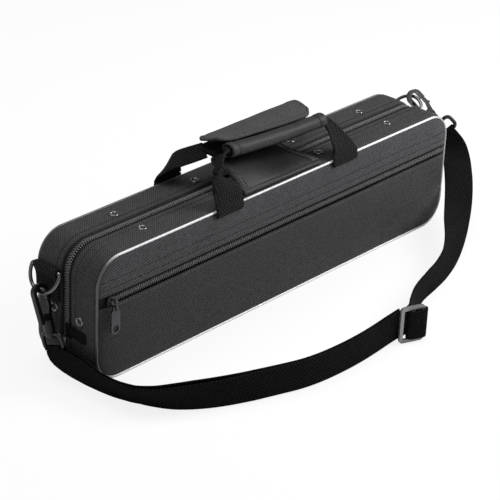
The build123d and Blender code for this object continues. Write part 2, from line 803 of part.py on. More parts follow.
# ---------------------------------------------------------------- swivel snap hook
def hook_body():
    """The hook casting: bend over the ring's wire at the origin, spine on +X, barrel below, post."""
    centre_z = ring_wire + hook_ring_play - hook_inner_radius
    outer = hook_inner_radius + hook_bar
    bend = (Circle(outer) - Circle(hook_inner_radius)) & (Pos(0, outer / 2) * Rectangle(4 * outer, outer))
    profile = Pos(0, centre_z) * bend
    middle = hook_inner_radius + hook_bar / 2
    profile += Pos(middle, (centre_z + hook_barrel_top - 3) / 2) * Rectangle(
        hook_bar, centre_z - hook_barrel_top + 3
    )
    profile += Pos(-middle, (centre_z + hook_bill_tip) / 2) * Rectangle(hook_bar, centre_z - hook_bill_tip)
    barrel_length = hook_barrel_top - hook_barrel_bottom
    width = hook_barrel_half_width + middle + hook_bar / 2
    shoulder_x = (middle + hook_bar / 2 - hook_barrel_half_width) / 2
    profile += Pos(shoulder_x, hook_barrel_top - barrel_length / 4) * Rectangle(width, barrel_length / 2)
    plate = extrude(Plane.XZ * profile, hook_thickness / 2, both=True)
    barrel = Pos(0, 0, (hook_barrel_top - barrel_length / 3 + hook_barrel_bottom) / 2) * Cylinder(
        hook_barrel_half_width, hook_barrel_top - barrel_length / 3 - hook_barrel_bottom
    )
    body = plate + barrel
    slot = box_between(
        (-2 * hook_barrel_half_width, -gate_thickness / 2 - gate_side_gap, gate_pivot_z - 3.2),
        (1.2, gate_thickness / 2 + gate_side_gap, hook_barrel_top + 1),
    )
    body -= slot
    body -= rod((gate_pivot_x, -9, gate_pivot_z), (gate_pivot_x, 9, gate_pivot_z), gate_pin_radius)
    post = Pos(0, 0, hook_barrel_bottom - (eye_crown_height + 0.6) / 2) * Cylinder(
        swivel_post_radius, eye_crown_height + 0.6
    )
    head = Pos(0, 0, hook_barrel_bottom - eye_crown_height - 0.6 - swivel_head_height / 2) * Cylinder(
        swivel_head_radius, swivel_head_height
    )
    return body + post + head


def gate_pin():
    return rod(
        (gate_pivot_x, -hook_thickness / 2, gate_pivot_z), (gate_pivot_x, hook_thickness / 2, gate_pivot_z),
        gate_pin_radius,
    )


def gate():
    """The sprung gate: a lever on its pin, closing up to the bill, with a thumb rib outside."""
    tip_z = hook_bill_tip - gate_tip_gap
    middle = hook_inner_radius + hook_bar / 2
    root = Pos(gate_pivot_x, gate_pivot_z) * Circle(gate_pin_radius + 1.3)
    lever = make_face(Polyline(
        (gate_pivot_x - 1.9, gate_pivot_z + 0.6), (-middle - gate_bar / 2, tip_z - 4),
        (-middle - gate_bar / 2, tip_z), (-middle + gate_bar / 2, tip_z),
        (-middle + gate_bar / 2, tip_z - 5), (gate_pivot_x + 1.9, gate_pivot_z + 0.6), close=True,
    ))
    rib = Pos(-middle - gate_bar / 2, tip_z - 5.5) * Circle(1.2)
    profile = (root + lever + rib) - Pos(gate_pivot_x, gate_pivot_z) * Circle(
        gate_pin_radius + gate_pin_clearance
    )
    return extrude(Plane.XZ * profile, gate_thickness / 2, both=True)


def clip_eye():
    """The swivel eye for the strap: crown round the post, and a loop in the local YZ plane."""
    crown_top = hook_barrel_bottom - 0.3
    crown = Pos(0, 0, crown_top - eye_crown_height / 2) * Cylinder(eye_crown_radius, eye_crown_height)
    width = eye_inner_width + 2 * eye_wire
    height = eye_inner_height + 2 * eye_wire
    loop_z = crown_top - eye_crown_height + eye_wire - height / 2
    loop_plane = Plane(origin=(0, 0, loop_z), x_dir=(0, 1, 0), z_dir=(1, 0, 0))
    path = (loop_plane * RectangleRounded(width, height, 4)).wire()
    section = Plane(origin=path @ 0, z_dir=path % 0) * Circle(eye_wire)
    loop = sweep(section, path=path)
    bore = Pos(0, 0, crown_top - eye_crown_height / 2) * Cylinder(
        swivel_post_radius + swivel_clearance, 2 * eye_crown_height
    )
    head_room = Pos(0, 0, crown_top - eye_crown_height - 1.4) * Cylinder(
        swivel_head_radius + 0.3, 2.8
    )
    return (crown + loop) - bore - head_room


def eye_bar_distance():
    """From the ring's wire to the strap bar of the eye, along the clip."""
    crown_bottom = hook_barrel_bottom - 0.3 - eye_crown_height
    return -(crown_bottom + eye_wire - (eye_inner_height + 2 * eye_wire))


def ring_tip(side, lean):
    """Middle of the ring's wire at the end of its bow."""
    angle = math.radians(lean)
    return Vector(
        side * (ring_axis_x() + ring_reach * math.sin(angle)), ring_tab_y,
        ring_bar_height - ring_reach * math.cos(angle),
    )


def left_clip_place():
    """Plane of the left clip: hanging from the ring, tilted forward, spine outwards."""
    tilt = math.radians(left_clip_tilt)
    up = Vector(0, math.sin(tilt), math.cos(tilt))
    return Plane(origin=ring_tip(-1, left_ring_lean), x_dir=(-1, 0, 0), z_dir=up)


def right_clip_place():
    """Plane of the right clip: drawn outwards and forwards from the raised ring by the strap."""
    up = -Vector(*right_clip_axis).normalized()
    side = Vector(0, 1, 0).cross(up).normalized()
    return Plane(origin=ring_tip(1, right_ring_lean), x_dir=-side, z_dir=up)


# ---------------------------------------------------------------- shoulder strap
def tri_glide_plane():
    """Plane of the tri-glide: local x along the strap, local y up, z out towards the front."""
    angle = math.radians(tri_glide_heading)
    return Plane(
        origin=(tri_glide_centre[0], tri_glide_centre[1], tri_glide_height / 2),
        x_dir=(math.cos(angle), math.sin(angle), 0), z_dir=(math.sin(angle), -math.cos(angle), 0),
    )


def tri_glide():
    """The strap's three-bar slide."""
    frame = RectangleRounded(tri_glide_length, tri_glide_height, 3)
    window = (tri_glide_length - 3 * tri_glide_bar) / 2
    for side in (-1, 1):
        x = side * (tri_glide_bar + window) / 2
        frame -= Pos(x, 0) * RectangleRounded(window, tri_glide_height - 2 * tri_glide_bar, 1)
    return tri_glide_plane() * extrude(frame, tri_glide_thickness / 2, both=True)


def arc_radii(points):
    """For each corner of a route, 0.45 of its shorter run over the tangent of half its turn."""
    radii = []
    for before, corner, after in zip(points, points[1:], points[2:]):
        run_in, run_out = Vector(*corner) - Vector(*before), Vector(*after) - Vector(*corner)
        half_turn = math.radians(run_in.get_angle(run_out)) / 2
        radii.append(0.45 * min(run_in.length, run_out.length) / math.tan(half_turn))
    return radii


def strap(name, route):
    """Flat webbing along a route of straight runs and tangent arcs, turned as its stations say."""
    points = [point for point, wide, width in route]
    radii = arc_radii(points)
    print(name, "radii", [round(radius) for radius in radii])
    path = FilletPolyline(*points, radius=radii)
    reach = [0.0]
    for before, after in zip(points, points[1:]):
        reach.append(reach[-1] + (Vector(*after) - Vector(*before)).length)
    count = round(reach[-1] / strap_section_spacing)
    sections = []
    for step in range(count + 1):
        share = step / count
        here = share * reach[-1]
        index = max(i for i in range(len(points) - 1) if reach[i] <= here)
        part = (here - reach[index]) / (reach[index + 1] - reach[index])
        wide_a, wide_b = Vector(*route[index][1]), Vector(*route[index + 1][1])
        wide = wide_a * (1 - part) + wide_b * part
        width = route[index][2] * (1 - part) + route[index + 1][2] * part
        along = path % share
        wide = (wide - along * wide.dot(along)).normalized()
        plane = Plane(origin=path @ share, x_dir=wide, z_dir=along)
        sections.append(plane * Rectangle(width, strap_thickness))
    webbing = loft(sections, ruled=True)
    full = path.length * strap_width * strap_thickness
    print(name, "length", round(path.length), "volume share", round(webbing.volume / full, 3),
          "lowest", round(webbing.bounding_box().min.Z, 2))
    return webbing


def strap_fold(eye_place):
    """The strap's fold over an eye's bar, open away from the clip, in the clip's place."""
    inner = eye_wire + fold_clearance
    ring = Circle(inner + strap_thickness) - Circle(inner)
    over = ring & (Pos(0, inner) * Rectangle(4 * inner, 2 * inner))
    fold = extrude(Plane.XZ * over, strap_bunched_width / 2, both=True)
    return eye_place * Pos(0, 0, -eye_bar_distance()) * fold


def strap_end_loop():
    """The strap's sewn end, a closed loop round the tri-glide's middle bar."""
    bar = Rectangle(tri_glide_bar + 2 * end_loop_clearance, tri_glide_thickness + 2 * end_loop_clearance)
    wrap = RectangleRounded(
        tri_glide_bar + 2 * (end_loop_clearance + end_loop_thickness),
        tri_glide_thickness + 2 * (end_loop_clearance + end_loop_thickness), end_loop_thickness,
    )
    loop = extrude(wrap - bar, end_loop_width / 2, both=True)
    return tri_glide_plane() * Rot(90, 0, 0) * loop


def export(name, shape):
    os.makedirs("parts", exist_ok=True)
    solids = shape.solids()
    whole = solids[0] if len(solids) == 1 else Compound(children=list(solids))
    export_step(whole, f"parts/{name}.step")


def main():
    front_rivets = rivet_places(rivet_top_y_front, rivet_end_y_front, rivet_end_height_front)
    rear_rivets = rivet_places(-rivet_top_y_rear, -rivet_end_y_rear, rivet_end_height_rear)
    export("front_band", half_band(front_depth, front_rivets))
    export("rear_band", to_rear(half_band(rear_depth, rear_rivets)))
    export("front_rivets", Compound(children=[place * rivet() for place in front_rivets]))
    export("rear_rivets", to_rear(Compound(children=[place * rivet() for place in rear_rivets])))
    export("front_piping", piping(front_depth))
    export("rear_piping", to_rear(piping(rear_depth)))
    export("front_zip_tape", zip_tape())
    export("rear_zip_tape", to_rear(zip_tape()))
    export("front_zip_coil", zip_coil())
    export("rear_zip_coil", to_rear(zip_coil()))
    export("left_gusset", gusset())
    export("right_gusset", to_right(gusset()))
    export("hinge_strip", hinge_strip())
    export("front_board", front_board())
    export("upper_panel", upper_panel())
    export("pocket_panel", pocket_panel())
    export("pocket_zip_tape", pocket_tape())
    export("pocket_zip_coil", pocket_coil())
    export("rear_panel", rear_panel())
    export("flute_tray", flute_tray())
    export("lid_pad", lid_pad())
    tab = zip_end_tab()
    export("zip_end_tabs", Compound(children=[tab, to_right(tab)]))
    for name, side in (("left", -1), ("right", 1)):
        export(f"{name}_zip_slider", main_slider_place(side) * zip_slider())
        export(f"{name}_zip_link", main_pull_place(side) * pull_link())
        export(f"{name}_zip_pull", main_pull_place(side) * pull_plate())
    export("pocket_zip_slider", pocket_slider_place() * zip_slider())
    export("pocket_zip_link", pocket_pull_place() * pull_link())
    export("pocket_zip_pull", pocket_pull_place() * pull_plate())
    export("front_handle_feet", handle_feet(front_depth))
    export("rear_handle_feet", to_rear(handle_feet(rear_depth)))
    export("front_handle_webbing", front_webbing())
    export("rear_handle_webbing", rear_webbing())
    export("grip_sleeve", grip_sleeve())
    export("wrap_upper_flap", upper_flap())
    export("wrap_lower_flap", lower_flap())
    export("left_ring_tab", ring_tab())
    export("right_ring_tab", to_right(ring_tab()))
    export("left_d_ring", ring_place(-1, left_ring_lean) * d_ring())
    export("right_d_ring", ring_place(1, right_ring_lean) * d_ring())
    left_clip, right_clip = left_clip_place(), right_clip_place()
    left_eye, right_eye = left_clip, Plane(right_clip.location * Rot(0, 0, right_eye_turn))
    for name, place, eye in (("left", left_clip, left_eye), ("right", right_clip, right_eye)):
        export(f"{name}_hook", place * hook_body())
        export(f"{name}_gate_pin", place * gate_pin())
        export(f"{name}_gate", place * gate())
        export(f"{name}_clip_eye", eye * clip_eye())
        export(f"{name}_strap_fold", strap_fold(eye))
    export("tri_glide", tri_glide())
    export("strap_end_loop", strap_end_loop())
    export("shoulder_strap", strap("shoulder strap", strap_route))
    export("strap_return", strap("strap return", return_route))


main()
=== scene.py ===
"""Flute case: cloth, webbing, zippers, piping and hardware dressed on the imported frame."""
import math

import bmesh
import bpy
import numpy as np
from mathutils import Matrix, Vector, noise


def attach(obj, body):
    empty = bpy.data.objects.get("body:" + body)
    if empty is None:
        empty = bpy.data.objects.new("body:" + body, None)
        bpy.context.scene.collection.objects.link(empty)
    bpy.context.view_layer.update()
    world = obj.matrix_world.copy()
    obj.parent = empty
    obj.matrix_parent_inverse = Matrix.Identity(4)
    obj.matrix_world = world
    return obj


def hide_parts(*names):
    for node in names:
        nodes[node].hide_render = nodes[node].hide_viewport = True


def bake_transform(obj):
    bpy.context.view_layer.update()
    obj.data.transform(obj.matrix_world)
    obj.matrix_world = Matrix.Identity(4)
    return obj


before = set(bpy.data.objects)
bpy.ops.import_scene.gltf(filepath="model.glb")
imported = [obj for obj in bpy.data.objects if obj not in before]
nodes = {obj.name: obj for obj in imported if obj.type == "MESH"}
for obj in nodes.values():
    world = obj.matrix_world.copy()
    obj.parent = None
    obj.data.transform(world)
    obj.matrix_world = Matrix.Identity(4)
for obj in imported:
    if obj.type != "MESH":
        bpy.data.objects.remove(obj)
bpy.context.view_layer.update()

# ---- sizes, in millimetres as in the CAD
MM = 0.001
HALF_LENGTH, HEIGHT, CORNER = 210.0, 107.0, 24.0
FRONT_DEPTH, REAR_DEPTH = 34.5, 32.5
FACE_INSET, FACE_SET_BACK = 1.9, 1.5
GROOVE_HALF, GROOVE_DEPTH = 6.0, 3.0
PIPING_RADIUS, PIPING_INSET = 1.0, 1.3
HINGE_HALF, HINGE_THICKNESS = 182.0, 0.8
ZIP_END_Z, TOOTH_PITCH = 33.0, 2.1
POCKET_ZIP_Z, POCKET_TAPE_HALF, POCKET_TOOTH_PITCH = 71.0, 4.5, 2.0
STRAP_WIDTH, STRAP_THICKNESS = 25.0, 1.6
WEBBING_WIDTH, WEBBING_THICKNESS = 30.0, 2.0
FOOT_X, GRIP_HALF, SLEEVE_RADIUS = 69.0, 57.0, 5.8
RIVET_XS = (-146, -57, 57, 146)
RING_TAB_Y, RING_BAR_X, RING_BAR_Z = 18.0, 212.9, 84.0
SIDES = (("left", -1), ("right", 1))


# ---- mesh helpers
def unit(v):
    """Each row of v at length 1."""
    v = np.asarray(v, float)
    return v / np.maximum(np.linalg.norm(v, axis=-1, keepdims=True), 1e-12)


def columns(*parts):
    """Columns side by side; a single number fills its column."""
    return np.stack(np.broadcast_arrays(*parts), axis=-1)


def ease(x):
    """0 to 1 with flat ends, for x from 0 to 1."""
    x = np.clip(x, 0.0, 1.0)
    return x * x * (3 - 2 * x)


def soft_noise(points, scale, seed):
    """Smooth noise from -1 to 1 at points in millimetres."""
    offset = Vector((seed * 17.3, seed * 5.1, seed * 9.7))
    flat = np.asarray(points, float).reshape(-1, 3)
    values = [noise.noise(Vector(p) / scale + offset) for p in flat]
    return np.array(values).reshape(np.asarray(points).shape[:-1])


def place_object(name, data):
    """A new object for some data, in the scene."""
    obj = bpy.data.objects.new(name, data)
    bpy.context.scene.collection.objects.link(obj)
    return obj


def make_object(name, verts, faces, corner_uvs, recalc=True):
    """A smooth mesh object from vertices and cloth UVs in millimetres."""
    mesh = bpy.data.meshes.new(name)
    mesh.from_pydata((np.asarray(verts) * MM).tolist(), [], faces)
    layer = mesh.uv_layers.new(name="cloth")
    layer.data.foreach_set("uv", np.asarray(corner_uvs, float).ravel())
    if recalc:
        work = bmesh.new()
        work.from_mesh(mesh)
        bmesh.ops.recalc_face_normals(work, faces=work.faces)
        work.to_mesh(mesh)
        work.free()
    mesh.polygons.foreach_set("use_smooth", [True] * len(mesh.polygons))
    return place_object(name, mesh)


def grid_object(name, points, uv, close_rows=False, close_cols=False, caps=False):
    """A surface from a grid of points. uv has one row or column more where that way is closed."""
    rows, cols = points.shape[:2]
    faces, corners = [], []
    for r in range(rows if close_rows else rows - 1):
        for c in range(cols if close_cols else cols - 1):
            ring = [(r, c), (r, c + 1), (r + 1, c + 1), (r + 1, c)]
            faces.append([(a % rows) * cols + b % cols for a, b in ring])
            corners.extend(uv[a, b] for a, b in ring)
    if caps:
        for r in (0, rows - 1):
            faces.append([r * cols + c for c in range(cols)])
            corners.extend(uv[r, c] for c in range(cols))
    return make_object(name, points.reshape(-1, 3), faces, corners)


def copies_object(name, verts, faces, places):
    """Many copies of one small shape; each place is (origin, x axis, y axis, z axis)."""
    verts = np.asarray(verts, float)
    all_verts, all_faces, corners = [], [], []
    for index, (origin, *axes) in enumerate(places):
        all_verts.append(verts @ np.array(axes, float) + np.asarray(origin, float))
        start = index * len(verts)
        all_faces.extend([[start + i for i in face] for face in faces])
        corners.extend(verts[i][:2] for face in faces for i in face)
    return make_object(name, np.concatenate(all_verts), all_faces, corners, recalc=False)


def capsule(length, radius, sides=6, flat=1.0):
    """A small closed capsule along x: (verts, faces)."""
    stations = [(-0.5, 0.35), (-0.38, 0.85), (-0.15, 1.0), (0.15, 1.0), (0.38, 0.85), (0.5, 0.35)]
    verts, faces = [], []
    for at, swell in stations:
        for k in range(sides):
            angle = 2 * math.pi * k / sides
            verts.append((at * length, radius * swell * math.cos(angle),
                          flat * radius * swell * math.sin(angle)))
    for i in range(len(stations) - 1):
        for k in range(sides):
            a, b = i * sides + k, i * sides + (k + 1) % sides
            faces.append([a, a + sides, b + sides, b])
    faces.append(list(range(sides)))
    faces.append([len(verts) - 1 - k for k in range(sides)])
    return verts, faces


def reach_along(points):
    """The distance from a line's first point to each of its points."""
    gaps = np.linalg.norm(np.diff(np.asarray(points, float), axis=0), axis=1)
    return np.concatenate([[0], np.cumsum(gaps)])


def interp_rows(at, reach, rows):
    """Each column of rows, read off at some distances."""
    return np.stack([np.interp(at, reach, column) for column in np.asarray(rows, float).T], axis=1)


def resample(points, pitch):
    """Points at an even pitch along a polyline, and the directions there."""
    reach = reach_along(points)
    count = max(2, int(reach[-1] / pitch) + 1)
    out = interp_rows(np.linspace(0, reach[-1], count), reach, points)
    return out, unit(np.gradient(out, axis=0))


def stitches(name, points, normals, pitch=3.2, length=2.3, radius=0.24):
    """A row of sewn stitches along a line of points with surface normals."""
    line, along = resample(points, pitch)
    reach = reach_along(points)
    facing = unit(interp_rows(np.linspace(0, reach[-1], len(line)), reach, normals))
    verts, faces = capsule(length, radius, flat=0.8)
    places = []
    for origin, x, z in zip(line, along, facing):
        z = unit(z - x * float(np.dot(x, z)))
        places.append((origin + z * radius * 0.25, x, np.cross(z, x), z))
    return copies_object(name, verts, faces, places)


def section_points(width, thickness, across=10, rounding=0.45):
    """A flat rounded section as (a, b, v): a across the width, b through it and v for the UVs."""
    r = rounding * thickness
    half, top, nick = width / 2, thickness / 2, r * 0.3
    flat = np.linspace(-half + r, half - r, across)
    points = [(a, top, a) for a in flat]
    points += [(half - nick, top - nick, half), (half, 0, half + 0.5 * r),
               (half - nick, -top + nick, half + r)]
    points += [(a, -top, 2 * half + 2 * r - a) for a in flat[::-1]]
    points += [(-half + nick, -top + nick, 3 * half), (-half, 0, 3 * half + 0.5 * r),
               (-half + nick, top - nick, 3 * half + r)]
    return np.array(points)


def ribbon(name, line, wides, widths, thickness, cup=0.0, across=10):
    """Webbing along a line, with closed ends. The width's direction, the width and the cup
    may be one for all points or one for each."""
    line = np.asarray(line, float)
    along = unit(np.gradient(line, axis=0))
    wides = np.broadcast_to(np.asarray(wides, float), line.shape)
    wides = unit(wides - along * np.sum(wides * along, axis=1, keepdims=True))
    widths, cup = np.broadcast_to(widths, len(line)), np.broadcast_to(cup, len(line))
    facing = np.cross(along, wides)
    reach = reach_along(line)
    rows, uvs = [], []
    for i in range(len(line)):
        section = section_points(widths[i], thickness, across)
        lift = cup[i] * (1 - (2 * section[:, 0] / widths[i]) ** 2)
        rows.append(line[i] + np.outer(section[:, 0], wides[i]) + np.outer(section[:, 1] + lift, facing[i]))
        uvs.append(columns(reach[i], np.append(section[:, 2], 4 * widths[i] / 2)))
    return grid_object(name, np.array(rows), np.array(uvs), close_cols=True, caps=True)


def thicken(obj, thickness):
    """Gives a single sheet its thickness, inwards."""
    obj.modifiers.new("thickness", "SOLIDIFY").thickness = thickness * MM
    return obj


def smooth_line(points, count):
    """A Catmull-Rom line through a few points of any dimension."""
    p = np.asarray(points, float)
    padded = np.concatenate([[2 * p[0] - p[1]], p, [2 * p[-1] - p[-2]]])
    out = []
    for t in np.linspace(0, len(p) - 1, count):
        i = min(int(t), len(p) - 2)
        f = t - i
        a, b, c, d = padded[i:i + 4]
        out.append(0.5 * (2 * b + (c - a) * f + (2 * a - 5 * b + 4 * c - d) * f ** 2
                          + (3 * b - a - 3 * c + d) * f ** 3))
    return np.array(out)


# ---- materials
def new_material(name, color, roughness, metallic=0.0, coat=0.0, sheen=0.0):
    """A material's node tree, its principled shader and its object coordinates."""
    material = bpy.data.materials.new(name)
    material.use_nodes = True
    tree = material.node_tree
    shader = tree.nodes["Principled BSDF"]
    for slot, value in (("Base Color", (*color, 1)), ("Roughness", roughness), ("Metallic", metallic),
                        ("Coat Weight", coat), ("Sheen Weight", sheen), ("Sheen Roughness", 0.4)):
        shader.inputs[slot].default_value = value
    return material, tree, shader, node(tree, "ShaderNodeTexCoord").outputs["Object"]


def node(tree, kind, **values):
    """A node with its properties and numbered or named input values set."""
    made = tree.nodes.new(kind)
    for key, value in values.items():
        if key.startswith("in_"):
            slot = key[3:]
            made.inputs[int(slot) if slot.isdigit() else slot].default_value = value
        else:
            setattr(made, key, value)
    return made


def noise_node(tree, place, **values):
    """A noise texture's value at a place."""
    texture = node(tree, "ShaderNodeTexNoise", **values)
    tree.links.new(place, texture.inputs["Vector"])
    return texture.outputs[0]


def math_node(tree, operation, a, b=0.0):
    """The result of one sum on sockets or numbers."""
    made = node(tree, "ShaderNodeMath", operation=operation)
    for slot, value in enumerate((a, b)):
        if isinstance(value, (int, float)):
            made.inputs[slot].default_value = value
        else:
            tree.links.new(value, made.inputs[slot])
    return made.outputs[0]


def add(tree, a, b):
    return math_node(tree, "ADD", a, b)


def times(tree, a, b):
    return math_node(tree, "MULTIPLY", a, b)


def swing(tree, value, span):
    """A value from 0 to 1, turned into one from -span / 2 to span / 2."""
    return times(tree, math_node(tree, "SUBTRACT", value, 0.5), span)


def plain_weave(tree, pitch_u, pitch_v):
    """A plain weave's height from 0 to 1 from the cloth UVs, which are in millimetres."""
    split = node(tree, "ShaderNodeSeparateXYZ")
    tree.links.new(node(tree, "ShaderNodeUVMap", uv_map="cloth").outputs[0], split.inputs[0])
    u, v = (math_node(tree, "SINE", times(tree, split.outputs[k], 2 * math.pi / pitch))
            for k, pitch in enumerate((pitch_u, pitch_v)))
    return add(tree, times(tree, times(tree, u, v), 0.5), 0.5)


def finish_shader(tree, shader, color, level, rough, height, strength, depth):
    """Links a surface's colour and its level, its roughness and its height to the shader."""
    paint = node(tree, "ShaderNodeVectorMath", operation="SCALE")
    paint.inputs[0].default_value = color
    tree.links.new(level, paint.inputs["Scale"])
    bump = node(tree, "ShaderNodeBump", in_Strength=strength, in_Distance=depth * MM)
    tree.links.new(height, bump.inputs["Height"])
    for slot, value in (("Base Color", paint.outputs[0]), ("Roughness", rough), ("Normal", bump.outputs[0])):
        tree.links.new(value, shader.inputs[slot])


def cloth_material(name, color, pitch, depth=0.25, contrast=0.35, roughness=0.75, sheen=0.0,
                   cloud=0.1, coat=0.0, shine=0.22):
    """Woven cloth: yarns from the cloth UVs, with slow changes of tone and fine fuzz."""
    material, tree, shader, place = new_material(name, color, roughness, sheen=sheen, coat=coat)
    shader.inputs["Coat Roughness"].default_value = 0.45
    shader.inputs["Specular IOR Level"].default_value = shine
    height = plain_weave(tree, *pitch)
    slow = noise_node(tree, place, in_Scale=28.0, in_Detail=3.0, in_Roughness=0.55)
    fine = noise_node(tree, place, in_Scale=620.0, in_Detail=2.0)
    tone, drift, fuzz = swing(tree, height, 2 * contrast), swing(tree, slow, 2 * cloud), swing(tree, fine, 1.6)
    level = add(tree, add(tree, tone, drift), add(tree, fuzz, 1.0))
    rough = add(tree, times(tree, slow, 0.2), roughness - 0.1)
    mixed = add(tree, height, times(tree, fine, 0.6))
    finish_shader(tree, shader, color, level, rough, mixed, 0.6, depth)
    return material


def painted_end_shade(tree, place, level, ends):
    """Painted shade: darkens a film's colour where it runs up the case's left and right ends, standing in for less
    light falling there.
    """
    split = node(tree, "ShaderNodeSeparateXYZ")
    tree.links.new(place, split.inputs[0])
    for sign, share in zip((-1, 1), ends):
        ramp = node(tree, "ShaderNodeMapRange", interpolation_type="SMOOTHSTEP",
                    in_1=0.184, in_2=0.203, in_3=1.0, in_4=share)
        tree.links.new(times(tree, split.outputs[0], sign), ramp.inputs[0])
        level = times(tree, level, ramp.outputs[0])
    return level


def metal_material(name, color, roughness, metallic=1.0, scratch=220.0, spread=0.12, coat=0.0, painted_end_shade_levels=None):
    """Metal or lacquered metal with fine handling marks and a little unevenness, and painted shade up the case's ends
    when levels for it are given.
    """
    material, tree, shader, place = new_material(name, color, roughness, metallic, coat)
    marks = noise_node(tree, place, in_Scale=scratch, in_Detail=4.0, in_Roughness=0.6)
    broad = noise_node(tree, place, in_Scale=45.0, in_Detail=2.0)
    level = add(tree, times(tree, broad, 0.3), 0.85)
    # Painted shade: the colour drops to a given share of itself up each end of the case.
    if painted_end_shade_levels:
        level = painted_end_shade(tree, place, level, painted_end_shade_levels)
    rough = add(tree, times(tree, marks, 2 * spread), roughness - spread)
    finish_shader(tree, shader, color, level, rough, marks, 0.15, 0.05)
    return material


BAND_CLOTH = cloth_material("band_cloth", (0.031, 0.030, 0.031), (2.3, 2.3), contrast=0.80, sheen=0.02, cloud=0.22)
PANEL_CLOTH = cloth_material("panel_cloth", (0.031, 0.031, 0.033), (2.35, 2.35), contrast=1.0, sheen=0.03,
                             cloud=0.24)
# The upper panel's cloth is the panel cloth at a lighter colour, 0.046 against 0.031: painted light, for the light that
# falls more on the upper panel.
UPPER_CLOTH_PAINTED_LIGHT = cloth_material("upper_panel_cloth", (0.046, 0.046, 0.049), (2.35, 2.35), contrast=1.0,
                             sheen=0.03, cloud=0.22)
LINING = cloth_material("lining_plush", (0.012, 0.013, 0.020), (0.5, 0.5), 0.4, roughness=0.95, sheen=0.3, cloud=0.3)
WRAP_CLOTH = cloth_material("wrap_cloth", (0.042, 0.041, 0.042), (1.9, 1.9), contrast=0.42, sheen=0.02, cloud=0.2)
COATED = cloth_material("coated_cloth", (0.021, 0.021, 0.022), (2.2, 2.2), 0.2, 0.6, 0.55, cloud=0.3, coat=0.05)
TAPE = cloth_material("zip_tape", (0.010, 0.010, 0.011), (0.8, 1.2), 0.2)
WEBBING = cloth_material("webbing", (0.0115, 0.0112, 0.0112), (2.9, 3.1), 0.7, 1.0, 0.8, cloud=0.25, shine=0.08)
STRAP = cloth_material("strap_webbing", (0.0072, 0.0072, 0.0073), (2.9, 3.2), 0.5, 1.0, 0.85, cloud=0.4, shine=0.02)
THREAD = cloth_material("thread", (0.006, 0.006, 0.007), (0.5, 5.0), 0.1, 0.3)
PALE_THREAD = cloth_material("pale_thread", (0.13, 0.13, 0.135), (0.5, 5.0), 0.1)
BINDING = cloth_material("binding", (0.048, 0.0475, 0.048), (1.4, 1.4), contrast=0.4, sheen=0.02, cloud=0.2)
PALE_TAPE = cloth_material("pale_tape", (0.20, 0.20, 0.205), (1.2, 1.2), contrast=0.3, cloud=0.15)
COIL = metal_material("zip_coil", (0.085, 0.085, 0.085), 0.36, metallic=0.0, coat=0.3)
# The front piping carries painted shade: its colour falls to 0.13 of itself up the left end and to 0.50 up the right
# end.
PIPING = metal_material("reflective_piping", (0.62, 0.63, 0.64), 0.40, 0.15, 120.0, 0.1, painted_end_shade_levels=(0.13, 0.50))
# The rear piping is dark grey, 0.10 against the front piping's 0.62: painted shade along the case's rear edges.
REAR_PIPING_PAINTED_SHADE = metal_material("rear_piping", (0.10, 0.10, 0.105), 0.45, 0.1, 120.0, 0.1)
DARK_METAL = metal_material("dark_metal", (0.085, 0.085, 0.09), 0.28, 0.9)
RIVET_METAL = metal_material("rivet_metal", (0.17, 0.17, 0.17), 0.25, 0.95)
# The rivet hollows are near-black metal: painted shade inside the rivets.
RIVET_HOLLOW_PAINTED_SHADE = metal_material("rivet_hollow_painted_shade", (0.02, 0.02, 0.02), 0.3, 0.8)
RING_METAL = metal_material("ring_metal", (0.15, 0.15, 0.15), 0.22)
HOOK_METAL = metal_material("hook_metal", (0.04, 0.04, 0.042), 0.3, 0.9)
SLIDE_METAL = metal_material("slide_metal", (0.22, 0.23, 0.22), 0.36, 0.6)


def dress(obj, material, body, replaced=()):
    """Gives a piece its material, the body that it rides on and the nodes it stands for."""
    obj.data.materials.clear()
    obj.data.materials.append(material)
    if body:
        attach(obj, body)
    if replaced:
        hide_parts(*replaced)
    return obj


def sew(name, points, normals, body, material=THREAD, **size):
    """A row of stitches that rides on a body."""
    return dress(stitches(name, points, normals, **size), material, body)


def refinish(names, material, bevel=0.0, segments=2):
    """CAD nodes that stay get a better material, and rounded edges where they need them."""
    for name in names.split():
        obj = nodes[name]
        obj.data.materials.clear()
        obj.data.materials.append(material)
        if bevel:
            edge = obj.modifiers.new("rounded_edges", "BEVEL")
            edge.width = bevel * MM
            edge.segments = segments
            edge.limit_method = "ANGLE"
            edge.angle_limit = math.radians(35)


refinish("left_zip_slider right_zip_slider pocket_zip_slider", DARK_METAL, 0.25)
refinish("left_zip_pull right_zip_pull pocket_zip_pull", DARK_METAL, 0.3, 3)
refinish("left_zip_link right_zip_link pocket_zip_link", DARK_METAL)
refinish("flute_tray lid_pad", LINING, 1.6, 4)
refinish("front_board", LINING)
refinish("left_d_ring right_d_ring left_gate_pin right_gate_pin", RING_METAL)
refinish("left_hook right_hook", HOOK_METAL, 0.5, 3)
refinish("left_gate right_gate", HOOK_METAL, 0.3)
refinish("left_clip_eye right_clip_eye", HOOK_METAL, 0.2)
refinish("tri_glide", SLIDE_METAL, 0.7, 3)
refinish("left_strap_fold right_strap_fold", STRAP, 0.3)


